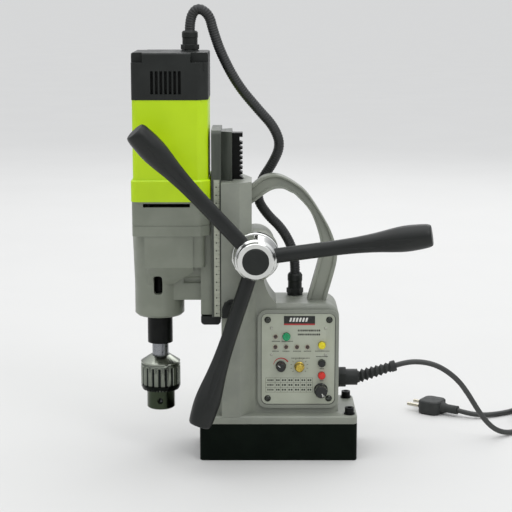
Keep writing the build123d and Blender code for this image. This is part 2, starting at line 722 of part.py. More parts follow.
def make_spindle(layshaft_to_spindle):
    place = Pos(spindle_x, 0, 0)
    profile = [(9.2, 144), (16, 144), (16, 180.4), (12.45, 180.4), (12.45, 252), (10, 252), (10, 280)]
    profile += [(0, 280), (0, 238), (7, 238), (7, 212)]
    spindle = turned(profile, place)
    spindle -= block((spindle_x - 20, spindle_x + 20), (-4, 4), drift_slot_heights)
    save("spindle", spindle)
    half_tooth = 180 / wheel_count
    phase = layshaft_to_spindle + 180 + half_tooth
    gear = Pos(spindle_x, 0, 264) * involute_gear(second_module, wheel_count, 11, phase)
    gear += post(spindle_x, 0, (275, 279), 14)
    gear -= post(spindle_x, 0, (260, 281), 10)
    save("spindle_gear", gear)
    arbor = [(0, 103), (7.8, 103), (8.6, 127), (10.5, 127), (10.5, 144), (9.15, 144), (7, 210), (0, 210)]
    tang = block((spindle_x - 5, spindle_x + 5), (-3, 3), (209, 217))
    save("chuck_arbor", turned(arbor, place) + tang)


# ---------------------------------------------------------------- chuck

jaw_directions = (90, 210, 330)


def jaw_place(angle):
    """Local Z climbs along a jaw's bore, outwards and up from its tip."""
    out = math.radians(angle)
    tilt = math.radians(jaw_tilt)
    direction = (math.sin(tilt) * math.cos(out), math.sin(tilt) * math.sin(out), math.cos(tilt))
    tip = (spindle_x + tip_offset * math.cos(out), tip_offset * math.sin(out), chuck_bottom)
    return Location(Plane(origin=tip, z_dir=direction))


def make_chuck():
    place = Pos(spindle_x, 0, 0)
    profile = [(0, 57), (16.5, 57), (18, 58.5), (18, 81), (20, 81), (20, 117), (25.2, 117), (25.2, 119)]
    profile += [(13, 127), (0, 127)]
    body = turned(profile, place)
    body -= post(spindle_x, 0, (56, 98), 8.4)
    body -= turned([(0, 103), (7.8, 103), (8.6, 127), (0, 127)], place)
    for angle in jaw_directions:
        body -= jaw_place(angle) * Pos(0, 0, 26) * Cylinder(jaw_radius + bore_clearance, 74)
        hole = Rot(0, 0, angle + 60) * Pos(14, 0, 69) * Rot(0, 90, 0) * Cylinder(3.9, 12)
        body -= place * hole
    save("chuck_body", body)

    ring = [(20.06, 82), (23.5, 82), (25.4, 86), (25.4, 115), (24.6, 116.4), (22.6, 116.4), (22.6, 110), (20.06, 110)]
    sleeve = turned(ring, place)
    flutes = 18
    for i in range(flutes):
        cut = Rot(0, 0, 360 * (i + 0.5) / flutes) * Pos(26.3, 0, 101) * Cylinder(2.2, 24)
        sleeve -= place * cut
    teeth = 36
    for i in range(teeth):
        notch = Rot(0, 0, 360 * i / teeth) * Pos(23.6, 0, 82.6) * Rot(0, -28, 0) * Box(7, 1.7, 3.4)
        sleeve -= place * notch
    save("chuck_sleeve", sleeve)

    for number, angle in enumerate(jaw_directions, 1):
        out = math.radians(angle)
        jaw = jaw_place(angle) * Pos(0, 0, 22.5) * Cylinder(jaw_radius, 49)
        jaw &= block((spindle_x - 30, spindle_x + 30), (-30, 30), (chuck_bottom, 110))
        apex = grip_radius - closed_radius + 0.12
        reach = 40
        wedge = polygon([
            (apex, 0), (apex + reach * math.cos(math.pi / 3), reach * math.sin(math.pi / 3)),
            (apex + reach, 0), (apex + reach * math.cos(math.pi / 3), -reach * math.sin(math.pi / 3)),
        ])
        keep = place * Rot(0, 0, angle) * plan_prism(wedge, (chuck_bottom - 1, 111))
        jaw = (jaw & keep) - post(spindle_x, 0, (chuck_bottom - 1, 111), grip_radius)
        save(f"chuck_jaw_{number}", jaw)


# ---------------------------------------------------------------- glands, conduit, mains cord

conduit_route = [
    (-111, 8, 540), (-111, 8, 556), (-101, 8, 569), (-87, 8, 560), (-82, 8, 540), (-72, 8, 511),
    (-52, 9, 473), (-26, 11, 442), (-6, 14, 420), (3, 19, 396), (-7, 25, 372), (-22, 28, 350),
    (-28, 28, 327), (-15, 28, 306), (4, 28, 288), (16, 28, 267), (22, 27, 247), (22, 27, 229),
]
cord_route = [
    (153, 5, 110.5), (166, 5, 114.53), (184, 5, 115.5), (203, 6, 111.5), (220, 8, 102), (236, 11, 88),
    (249, 16, 70), (261, 22, 50), (274, 30, 30), (289, 40, 13.5), (306, 51, 4.4), (324, 61, 3.6),
    (343, 67.5, 3.6), (362, 71, 3.6), (380, 75.5, 3.6),
]
tail_route = [
    (374, 164.5, 14), (354, 165, 7.8), (336, 156.5, 3.9), (320, 146, 3.6), (302, 137, 3.9),
    (285, 131.5, 5), (269, 131.5, 7), (254.5, 139.5, 9.2),
]
plug_neck_end = (254.5, 139.5, 9.2)
relief_start = (103, 5, 95)
relief_end = (153, 5, 110.5)


def make_conduit():
    tube, length = tube_along(conduit_route, conduit_diameter, "conduit")
    save("conduit", tube)
    upper = [(0, 515), (11, 515), (11, 516), (9.5, 517), (9.5, 531), (10, 532), (10, 538), (8.5, 540), (0, 540)]
    gland = turned(upper, Pos(-111, 8, 0)) + Pos(-111, 8, 517) * hexagon_nut(20, 6)
    gland += post(-111, 8, (506, 515), 5.95)
    save("cap_gland", gland)
    lower = [(0, 200), (10, 200), (10, 202), (9, 203), (9, 218), (9.6, 219), (9.6, 226), (8, 229), (0, 229)]
    base = turned(lower, Pos(22, 27, 0)) + Pos(22, 27, 203) * hexagon_nut(19, 6)
    base += post(22, 27, (192, 200), 5.95)
    save("housing_gland", base)


def make_mains():
    clamp = bar_x(5, 95, (77, 80), 13) + Pos(80, 5, 95) * Rot(0, 90, 0) * hexagon_nut(23, 8)
    clamp += bar_x(5, 95, (88, 103), 10.5) + bar_x(5, 95, (66, 77), 6.95)
    clamp -= bar_x(5, 95, (94, 104), 8.6)
    save("cable_clamp", clamp)

    start = Vector(*relief_start)
    axis = Vector(*relief_end) - start
    length = axis.length
    profile = [(0, -5), (6, -5), (8, 0)]
    ribs = 8
    for i in range(ribs):
        low = 2 + i * (length - 12) / ribs
        radius = 8.4 - 2.6 * i / ribs
        profile += [(radius - 1.1, low), (radius, low + 1), (radius, low + 3.4), (radius - 1.1, low + 4.4)]
    profile += [(5, length - 8), (6.3, length - 7), (6.3, length - 1), (5, length), (0, length)]
    relief = turned(profile, Location(Plane(origin=relief_start, z_dir=axis)))
    save("strain_relief", relief)

    tube, first_length = tube_along(cord_route, mains_diameter, "mains cord to coil")
    save("cord_tube", tube)
    tail, tail_length = tube_along(tail_route, mains_diameter, "mains cord, coil to plug")
    save("cord_tail", tail)
    print("length left for the coil", round(mains_length - first_length - tail_length))

    ring = turned([
        (coil_turn_radius - coil_half_width, 0), (coil_turn_radius + coil_half_width, 0),
        (coil_turn_radius + coil_half_width, 18), (coil_turn_radius + coil_half_width - 3, 21),
        (coil_turn_radius - coil_half_width + 3, 21), (coil_turn_radius - coil_half_width, 18),
    ], Pos(*coil_middle, 0))
    save("cord_coil", ring)


def make_plug():
    """A moulded two-pin plug lying on its flat, its neck towards the cord."""
    neck = Vector(*plug_neck_end)
    heading = -34
    place = Pos(neck.X, neck.Y, 0) * Rot(0, 0, heading)
    head = block((-56, -24), (-17, 17), (0, 19))
    head = fillet(head.edges().filter_by(Axis.Z), 9)
    head = chamfer(head.edges().group_by(Axis.Z)[-1] + head.edges().group_by(Axis.Z)[0], 1.5)
    cone = turned([(0, 0), (6, 0), (6, 16), (8.4, 24), (9.3, 27), (0, 27)], Pos(0, 0, 9.4) * Rot(0, -90, 0))
    save("plug_body", place * (head + cone))
    pins = [bar_x(y, 9.4, (-74, -56), 2.4) for y in (-9.5, 9.5)]
    save("plug_pins", *[place * pin for pin in pins])


make_magnet()
make_base_bolts()
make_stand()
make_handle()
make_panel()
make_buttons()
make_knobs()
make_electronics()
make_gib()
make_slide()
make_rack()
make_bushes()
make_travel_stop()
make_capstan()
make_gearbox()
make_motor()
make_motor_inside()
make_bearings()
make_spindle(make_layshaft())
make_chuck()
make_conduit()
make_mains()
make_plug()
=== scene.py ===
import bpy
import bmesh
import math
import numpy as np
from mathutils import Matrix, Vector


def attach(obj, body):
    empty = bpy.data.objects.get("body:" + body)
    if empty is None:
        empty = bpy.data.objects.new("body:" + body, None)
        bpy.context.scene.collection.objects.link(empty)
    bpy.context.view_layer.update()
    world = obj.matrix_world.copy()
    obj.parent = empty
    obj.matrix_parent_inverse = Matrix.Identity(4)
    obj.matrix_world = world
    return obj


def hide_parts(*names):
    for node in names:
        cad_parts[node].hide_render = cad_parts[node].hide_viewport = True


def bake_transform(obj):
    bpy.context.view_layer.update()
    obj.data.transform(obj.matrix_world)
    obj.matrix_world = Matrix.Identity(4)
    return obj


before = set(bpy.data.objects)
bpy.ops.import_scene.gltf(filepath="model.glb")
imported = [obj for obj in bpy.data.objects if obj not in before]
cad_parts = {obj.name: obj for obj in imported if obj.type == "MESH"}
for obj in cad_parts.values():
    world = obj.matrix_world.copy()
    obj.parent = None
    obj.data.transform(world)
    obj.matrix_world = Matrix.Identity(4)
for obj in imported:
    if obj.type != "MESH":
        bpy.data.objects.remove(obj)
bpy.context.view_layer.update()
print("frame loaded:", len(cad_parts), "nodes")

# small helpers

def linear(hexText):
    # sRGB to linear: c / 12.92 when small, else ((c + 0.055) / 1.055) ** 2.4
    parts = [int(hexText[i:i + 2], 16) / 255 for i in (1, 3, 5)]
    return tuple(c / 12.92 if c <= 0.04045 else ((c + 0.055) / 1.055) ** 2.4 for c in parts) + (1.0,)


def addNode(tree, kind, settings, links):
    # one shader node: settings by socket or attribute name, links as socket: source
    node = tree.nodes.new("ShaderNode" + kind)
    for key, value in settings.items():
        if isinstance(key, int) or key in node.inputs:
            node.inputs[key].default_value = value
        else:
            setattr(node, key, value)
    for key, source in links.items():
        tree.links.new(source, node.inputs[key])
    return node


def finishMesh(mesh, smoothDegrees):
    # doubles merged so that poles and seams close, faces turned outwards, then smooth up to an angle
    work = bmesh.new()
    work.from_mesh(mesh)
    bmesh.ops.remove_doubles(work, verts=work.verts, dist=2e-7)
    bmesh.ops.dissolve_degenerate(work, edges=work.edges, dist=1e-8)
    bmesh.ops.recalc_face_normals(work, faces=work.faces)
    work.to_mesh(mesh)
    work.free()
    mesh.shade_smooth()
    mesh.set_sharp_from_angle(angle=math.radians(smoothDegrees))
    mesh.update()


def pieceFromArrays(name, vertices, faces, smoothDegrees=32):
    # corners (x, y, z) and faces (corner numbers) as a mesh object in the scene
    mesh = bpy.data.meshes.new(name)
    mesh.from_pydata(np.asarray(vertices).reshape(-1, 3).tolist(), [], np.asarray(faces).tolist())
    finishMesh(mesh, smoothDegrees)
    piece = bpy.data.objects.new(name, mesh)
    bpy.context.scene.collection.objects.link(piece)
    return piece


def gridFaces(nu, nv, wrapV, offset):
    # quads of a u by v grid that closes round u: corners (u, v), (u+1, v), (u+1, v+1), (u, v+1)
    u, v = np.meshgrid(np.arange(nu), np.arange(nv if wrapV else nv - 1), indexing="ij")
    nextU, nextV = (u + 1) % nu, (v + 1) % nv
    quads = np.stack([u * nv + v, nextU * nv + v, nextU * nv + nextV, u * nv + nextV], axis=-1)
    return quads.reshape(-1, 4) + offset


def gridPiece(name, grids, wrapV=False, smoothDegrees=32):
    # one or more (u, v, xyz) grids in one mesh; an end row at one point closes as a pole
    grids = [np.asarray(g, dtype=float) for g in grids]
    starts = np.cumsum([0] + [g.shape[0] * g.shape[1] for g in grids])
    faces = [gridFaces(g.shape[0], g.shape[1], wrapV, s) for g, s in zip(grids, starts)]
    vertices = np.concatenate([g.reshape(-1, 3) for g in grids])
    return pieceFromArrays(name, vertices, np.concatenate(faces), smoothDegrees)


def turnedGrid(profile, around):
    # surface of revolution: (r cos a, r sin a, z) for each (r, z) of the profile
    angle = np.linspace(0, 2 * np.pi, around, endpoint=False)[:, None]
    r, z = np.asarray(profile, dtype=float).T
    return np.stack([r * np.cos(angle), r * np.sin(angle), z + 0 * angle], axis=-1)


def frameGrid(grid, origin, axis):
    # local Z laid along an axis: origin + x * side + y * up + z * axis
    turn = Vector(axis).normalized().to_track_quat("Z", "Y").to_matrix()
    return np.asarray(origin) + grid @ np.array(turn).T


def transportFrames(path):
    # side vectors carried along a path with the least turning: s' = s - (s . t) t, normalised
    tangent = np.gradient(path, axis=0)
    tangent /= np.linalg.norm(tangent, axis=1)[:, None]
    side = np.zeros_like(path)
    side[0] = np.cross(tangent[0], (0.31, 0.87, 0.12))
    side[0] /= np.linalg.norm(side[0])
    for i in range(1, len(path)):
        side[i] = side[i - 1] - side[i - 1] @ tangent[i] * tangent[i]
        side[i] /= np.linalg.norm(side[i])
    return tangent, side, np.cross(tangent, side)


boxCorners = np.array(
    [[0, 2, 4], [1, 2, 4], [1, 3, 4], [0, 3, 4], [0, 2, 5], [1, 2, 5], [1, 3, 5], [0, 3, 5]]
)
boxSides = np.array([[0, 3, 2, 1], [4, 5, 6, 7], [0, 1, 5, 4], [1, 2, 6, 5], [2, 3, 7, 6], [3, 0, 4, 7]])


def blockFaces(count):
    # the six sides of each eight-cornered block, in order
    return (boxSides[None] + 8 * np.arange(count)[:, None, None]).reshape(-1, 4)


def boxArrays(boxes):
    # upright boxes (x0, x1, y0, y1, z0, z1) as corners and faces
    boxes = np.asarray(boxes, dtype=float)
    return boxes[:, boxCorners].reshape(-1, 3), blockFaces(len(boxes))


def joined(parts):
    # several (vertices, faces) sets as one, with the face numbers moved on
    starts = np.cumsum([0] + [len(v) for v, f in parts])
    faces = np.concatenate([f + s for (v, f), s in zip(parts, starts)])
    return np.concatenate([v for v, f in parts]), faces


def wear(piece, material):
    # one finish over the whole piece
    piece.data.materials.clear()
    piece.data.materials.append(material)


def smoothLine(points, steps):
    # Catmull-Rom through the points: half of
    # 2 b + (c - a) t + (2 a - 5 b + 4 c - d) t2 + (3 b - a - 3 c + d) t3
    p = np.asarray(points, dtype=float)
    p = np.concatenate([[2 * p[0] - p[1]], p, [2 * p[-1] - p[-2]]])
    place = np.linspace(0, len(p) - 3 - 1e-6, steps)
    k, t = place.astype(int), (place % 1)[:, None]
    a, b, c, d = p[k], p[k + 1], p[k + 2], p[k + 3]
    squared, cubed = 2 * a - 5 * b + 4 * c - d, 3 * b - a - 3 * c + d
    return 0.5 * (2 * b + (c - a) * t + squared * t ** 2 + cubed * t ** 3)


# camera, light and floor

cameraSettings = {
    "place": (-0.0286, -1.8013, 0.5929),   # metres
    "pitch": 10.6,                         # degrees below level
    "lens": 100.9,                         # mm
    "sensor": 36,                          # mm across
    "farthest": 400,                       # metres, past the floor's edge
}
camera = bpy.data.objects.new("camera", bpy.data.cameras.new("camera"))
camera.data.lens = cameraSettings["lens"]
camera.data.sensor_width = cameraSettings["sensor"]
camera.data.clip_end = cameraSettings["farthest"]
camera.location = cameraSettings["place"]
camera.rotation_euler = (math.radians(90 - cameraSettings["pitch"]), 0, 0)
bpy.context.scene.collection.objects.link(camera)
bpy.context.scene.camera = camera
bpy.context.scene.view_settings.view_transform = "Standard"  # plain studio colours, no film curve

lightSettings = {
    # name: place, aim, width, height, watts, tint
    "overhead": ((-0.1, -0.1, 2.4), (-0.05, 0.1, 0.1), 2.6, 2.0, 14, "#FFFFFF"),
    "frontLeft": ((-1.8, -2.2, 1.7), (-0.05, 0, 0.3), 1.3, 1.6, 0.5, "#FFFFFF"),
    "frontRight": ((1.15, -1.7, 2.1), (-0.05, 0, 0.3), 0.7, 0.7, 8, "#FFFFFF"),
    "behind": ((0.6, 2.4, 1.8), (0, 0, 0.3), 2.0, 1.2, 14, "#FFFFFF"),
}
for lightName, (place, aim, width, height, watts, tint) in lightSettings.items():
    lamp = bpy.data.lights.new(lightName, "AREA")
    lamp.shape = "RECTANGLE"
    lamp.size, lamp.size_y = width, height
    lamp.energy = watts
    lamp.color = linear(tint)[:3]
    holder = bpy.data.objects.new(lightName, lamp)
    holder.location = place
    holder.rotation_euler = (Vector(aim) - Vector(place)).to_track_quat("-Z", "Y").to_euler()
    bpy.context.scene.collection.objects.link(holder)

skySettings = {
    "heights": (0.12, 0.75),      # upward part of the direction, from the low tone to the high one
    "strengths": (0.42, 1.3),
    "tint": "#FBFCFF",
}
world = bpy.data.worlds.new("studio")
bpy.context.scene.world = world
world.use_nodes = True
world.node_tree.nodes.clear()
skyCoords = addNode(world.node_tree, "TexCoord", {}, {})
skyHeight = addNode(world.node_tree, "SeparateXYZ", {}, {0: skyCoords.outputs["Generated"]})
skyTone = addNode(
    world.node_tree, "MapRange", dict(enumerate(skySettings["heights"] + skySettings["strengths"], 1)),
    {0: skyHeight.outputs["Z"]},
)
skyShader = addNode(
    world.node_tree, "Background", {"Color": linear(skySettings["tint"])}, {"Strength": skyTone.outputs[0]}
)
addNode(world.node_tree, "OutputWorld", {}, {"Surface": skyShader.outputs[0]})

floorSettings = {"span": 250, "bottom": -0.02, "top": -0.0002}    # metres, either side of the middle
floorSpan = floorSettings["span"]
floor = pieceFromArrays("floor", *boxArrays([
    (-floorSpan, floorSpan, -floorSpan, floorSpan, floorSettings["bottom"], floorSettings["top"]),
]))
print("camera, light and floor ready")

# cords

def splineCurve(name, points, radius):
    # an open NURBS spline of order 3 with the points as its control points
    curve = bpy.data.curves.new(name, "CURVE")
    curve.dimensions = "3D"
    spline = curve.splines.new("NURBS")
    spline.points.add(len(points) - 1)
    spline.points.foreach_set("co", np.column_stack([points, np.ones(len(points))]).ravel())
    spline.points.foreach_set("radius", np.full(len(points), radius))  # the curve's box grows by this
    spline.order_u = 3
    spline.use_endpoint_u = True
    curve.resolution_u = 8
    curve.bevel_depth = 1.0 if radius else 0.0
    curve.bevel_resolution = 6
    curve.use_fill_caps = True
    piece = bpy.data.objects.new(name, curve)
    bpy.context.scene.collection.objects.link(piece)
    return piece


def lineOf(points, spacing):
    # points read from the spline, then set at even steps along its length
    guide = splineCurve("guide", points, 0)
    guide.data.resolution_u = 24
    mesh = bpy.data.meshes.new_from_object(guide)
    line = np.empty(len(mesh.vertices) * 3)
    mesh.vertices.foreach_get("co", line)
    line = line.reshape(-1, 3)
    bpy.data.objects.remove(guide)
    bpy.data.meshes.remove(mesh)
    along = np.concatenate([[0], np.cumsum(np.linalg.norm(np.diff(line, axis=0), axis=1))])
    steps = np.linspace(0, along[-1], int(along[-1] / spacing) + 1)
    return np.stack([np.interp(steps, along, line[:, k]) for k in range(3)], axis=1), steps


mainsCord = {
    "diameter": 0.007,
    "length": 2.5,
    "route": [  # millimetres, from the strain relief to the coil
        (153, 5, 110.5), (166, 5, 114.53), (184, 5, 115.5), (203, 6, 111.5), (220, 8, 102), (236, 11, 88),
        (249, 16, 70), (261, 22, 50), (274, 30, 30), (289, 40, 13.5), (306, 51, 4.4), (324, 61, 3.6),
        (343, 67.5, 3.6), (362, 71, 3.6), (380, 75.5, 3.6),
    ],
    "coilMiddle": (386, 122),
    "firstAngle": -82,        # degrees, where the first turn begins
    "lastAngle": 92,          # degrees, where the last one leaves
    "fullTurns": 8,
    "pointsPerTurn": 16,
    "turnRadii": (45.4, 38.3, 31.3, 31.3, 38.3, 45.4, 45.2, 38.1, 38.1, 53.5),  # at each full turn
    "turnHeights": (3.6, 3.6, 3.6, 10.7, 10.7, 10.7, 17.8, 17.8, 18.4, 14.0),
    "stepFrom": 0.62,         # share of a turn after which the next turn's radius is taken up
    "wander": 0.35,           # mm either way, on all but the last turns
    "leaveRadii": (38.1, 54.0),
    "leaveHeights": (18.2, 7.2, 9),    # start, hump over the turns below, drop to the floor
    "tail": [  # from the coil to the plug
        (353, 166, 7.6), (336, 156.5, 3.8), (320, 146, 3.6), (302, 137, 3.9), (285, 131.5, 5),
        (269, 131.5, 7), (254.5, 139.5, 9.2),
    ],
}


def coilPoints(c):
    # middle + r (cos a, sin a), with r and height stepping from one turn's to the next's
    total = c["fullTurns"] + (c["lastAngle"] - c["firstAngle"]) / 360
    turn = np.linspace(0, total, int(total * c["pointsPerTurn"]) + 1)[1:]
    angle = np.radians(c["firstAngle"]) + 2 * np.pi * turn
    whole = np.minimum(turn.astype(int), len(c["turnRadii"]) - 2)
    share = np.clip((turn - whole - c["stepFrom"]) / 0.38, 0, 1)
    share = share * share * (3 - 2 * share)
    radii, heights = np.array(c["turnRadii"]), np.array(c["turnHeights"])
    wander = c["wander"] * np.sin(2.3 * angle + 0.7) * (turn < c["fullTurns"] - 1)
    r = radii[whole] * (1 - share) + radii[whole + 1] * share + wander
    z = heights[whole] * (1 - share) + heights[whole + 1] * share
    # the last part turn swings out from the coil over the turns below, then drops
    last = turn > c["fullTurns"]
    inner, outer = c["leaveRadii"]
    start, hump, drop = c["leaveHeights"]
    leaving = np.clip((turn - 8.0) / 0.36, 0, 1)
    crossing = np.clip((turn - 8.05) / 0.42, 0, 1)
    falling = np.clip((turn - 8.3) / 0.2, 0, 1)
    r = np.where(last, inner + (outer - inner) * crossing ** 2 * (3 - 2 * crossing), r)
    z = np.where(last, start + hump * np.sin(np.pi * leaving * 0.62) - drop * falling ** 2, z)
    x, y = c["coilMiddle"]
    return np.column_stack([x + r * np.cos(angle), y + r * np.sin(angle), z])


mainsPoints = np.concatenate([mainsCord["route"], coilPoints(mainsCord), mainsCord["tail"]]) / 1000
mainsLead = splineCurve("mainsLead", mainsPoints, mainsCord["diameter"] / 2)
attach(mainsLead, "stand")
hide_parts("cord_tube", "cord_coil", "cord_tail")

conduitSettings = {
    "diameter": 0.013,
    "length": 0.42,
    "route": [  # millimetres, from the motor cap down to the housing
        (-111, 8, 540), (-111, 8, 556), (-101, 8, 569), (-87, 8, 560), (-82, 8, 540), (-72, 8, 511),
        (-52, 9, 473), (-26, 11, 442), (-6, 14, 420), (3, 19, 396), (-7, 25, 372), (-22, 28, 350),
        (-28, 28, 327), (-15, 28, 306), (4, 28, 288), (16, 28, 267), (22, 27, 247), (22, 27, 229),
    ],
    "pitch": 0.0031,     # one corrugation
    "depth": 0.00045,
    "ringsPerPitch": 6,
    "around": 20,
}


def corrugatedTube(name, c):
    # r = half the diameter - depth * (1 - cos(2 pi s / pitch)) / 2, carried along the line
    line, steps = lineOf(np.array(c["route"]) / 1000, c["pitch"] / c["ringsPerPitch"])
    tangent, side, up = transportFrames(line)
    r = c["diameter"] / 2 - c["depth"] * (0.5 - 0.5 * np.cos(2 * np.pi * steps / c["pitch"]))
    angle = np.linspace(0, 2 * np.pi, c["around"], endpoint=False)[:, None, None]
    rings = line + r[:, None] * (np.cos(angle) * side + np.sin(angle) * up)
    ends = [np.repeat(line[k][None, None], c["around"], axis=0) for k in (0, -1)]
    return gridPiece(name, [np.concatenate([ends[0], rings, ends[1]], axis=1)], smoothDegrees=50), line


cableConduit, conduitLine = corrugatedTube("cableConduit", conduitSettings)
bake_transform(cableConduit)
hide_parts("conduit")
print("cords ready")

# finishes

def makeFinish(name, look):
    # Two tones mixed by a cloudy pattern, roughness between two values by a finer one, and grain that
    # stands a few hundredths of a millimetre. Sizes are in mm; "stretch" draws a pattern out along an axis.
    material = bpy.data.materials.new(name)
    material.use_nodes = True
    tree = material.node_tree
    tree.nodes.clear()
    coords = addNode(tree, "TexCoord", {}, {})
    place = addNode(
        tree, "Mapping", {"Scale": look.get("stretch", (1, 1, 1))}, {"Vector": coords.outputs["Object"]}
    )
    spot = place.outputs["Vector"]
    cloudSize, cloudDetail = look.get("cloud", (30, 3))
    cloud = addNode(
        tree, "TexNoise", {"Scale": 1000 / cloudSize, "Detail": cloudDetail, "Roughness": 0.6},
        {"Vector": spot}
    )
    share = addNode(
        tree, "MapRange", {1: 0.35, 2: 0.65, "interpolation_type": "SMOOTHSTEP"}, {0: cloud.outputs["Fac"]}
    )
    tones = look["tones"]
    colour = addNode(
        tree, "Mix", {"data_type": "RGBA", 6: linear(tones[0]), 7: linear(tones[1])},
        {0: share.outputs[0]},
    ).outputs[2]
    low, high = look["roughness"]
    smudge = addNode(
        tree, "TexNoise", {"Scale": 1000 / look.get("smudge", 14), "Detail": 4.0}, {"Vector": spot}
    )
    rough = addNode(
        tree, "MapRange", {1: 0.3, 2: 0.7, 3: low, 4: high}, {0: smudge.outputs["Fac"]}
    ).outputs[0]
    metallic = None
    layers = []  # (tone, mask), laid over each other in this order
    if "speckle" in look:  # small flecks of another tone: size, share of the area, tone
        size, amount, tone = look["speckle"]
        fleck = addNode(tree, "TexNoise", {"Scale": 1000 / size, "Detail": 2.0}, {"Vector": spot})
        mask = addNode(tree, "MapRange", {1: 0.62 - amount, 2: 0.68 - amount}, {0: fleck.outputs["Fac"]})
        layers.append((tone, mask.outputs[0]))
    if "worn" in look:  # edges rubbed through: width, tone, share that is metal
        width, tone, metal, amount = look["worn"]
        soft = addNode(tree, "Bevel", {"samples": 4, "Radius": width / 1000}, {})
        facing = addNode(tree, "NewGeometry", {}, {})
        agree = addNode(
            tree, "VectorMath", {"operation": "DOT_PRODUCT"},
            {0: soft.outputs[0], 1: facing.outputs["Normal"]}
        )
        broken = addNode(
            tree, "TexNoise", {"Scale": 1000 / 9, "Detail": 6.0, "Roughness": 0.75},
            {"Vector": coords.outputs["Object"]}
        )
        limit = addNode(
            tree, "Math", {"operation": "MULTIPLY_ADD", 1: 0.5, 2: amount}, {0: broken.outputs["Fac"]}
        )
        past = addNode(
            tree, "Math", {"operation": "SUBTRACT"}, {0: limit.outputs[0], 1: agree.outputs["Value"]}
        )
        rubbed = addNode(tree, "MapRange", {1: 0.0, 2: 0.05}, {0: past.outputs[0]}).outputs[0]
        layers.append((tone, rubbed))
        if metal:
            metallic = addNode(tree, "Math", {"operation": "MULTIPLY", 1: metal}, {0: rubbed}).outputs[0]
    if "paintedFluteShade" in look:  # painted shade darkening the flutes: axis x, radii from fully shaded to unshaded, tone
        axisX, dark, unshaded, tone = look["paintedFluteShade"]
        offset = addNode(
            tree, "VectorMath", {"operation": "SUBTRACT", 1: (axisX, 0, 0)}, {0: coords.outputs["Object"]}
        )
        level = addNode(tree, "VectorMath", {"operation": "MULTIPLY", 1: (1, 1, 0)}, {0: offset.outputs[0]})
        reach = addNode(tree, "VectorMath", {"operation": "LENGTH"}, {0: level.outputs[0]})
        mask = addNode(tree, "MapRange", {1: dark, 2: unshaded, 3: 1.0, 4: 0.0}, {0: reach.outputs["Value"]})
        layers.append((tone, mask.outputs[0]))
    if "below" in look:  # another tone under a height (a painted reflection on the chuck body, the black rim on the sleeve): from, to, tone
        lowZ, highZ, tone = look["below"]
        height = addNode(tree, "SeparateXYZ", {}, {0: coords.outputs["Object"]})
        mask = addNode(tree, "MapRange", {1: lowZ, 2: highZ, 3: 1.0, 4: 0.0}, {0: height.outputs["Z"]})
        layers.append((tone, mask.outputs[0]))
    for tone, mask in layers:
        colour = addNode(
            tree, "Mix", {"data_type": "RGBA", 7: linear(tone)}, {0: mask, 6: colour}
        ).outputs[2]
    links = {"Base Color": colour, "Roughness": rough}
    if "grain" in look:  # size and height of the surface's own texture
        size, height = look["grain"]
        texture = addNode(tree, "TexNoise", {"Scale": 1000 / size, "Detail": 3.0}, {"Vector": spot})
        bump = addNode(
            tree, "Bump", {"Distance": height / 1000, "Strength": 1.0}, {"Height": texture.outputs[0]}
        )
        if "soft" in look:  # edges shaded as if rounded to this radius
            rounded = addNode(tree, "Bevel", {"samples": 6, "Radius": look["soft"] / 1000}, {})
            tree.links.new(rounded.outputs[0], bump.inputs["Normal"])
        links["Normal"] = bump.outputs[0]
    if metallic:
        links["Metallic"] = metallic
    shader = addNode(tree, "BsdfPrincipled", {"Metallic": look.get("metallic", 0.0)}, links)
    for socket, value in look.get("shader", {}).items():
        shader.inputs[socket].default_value = value
    addNode(tree, "OutputMaterial", {}, {"Surface": shader.outputs[0]})
    return material


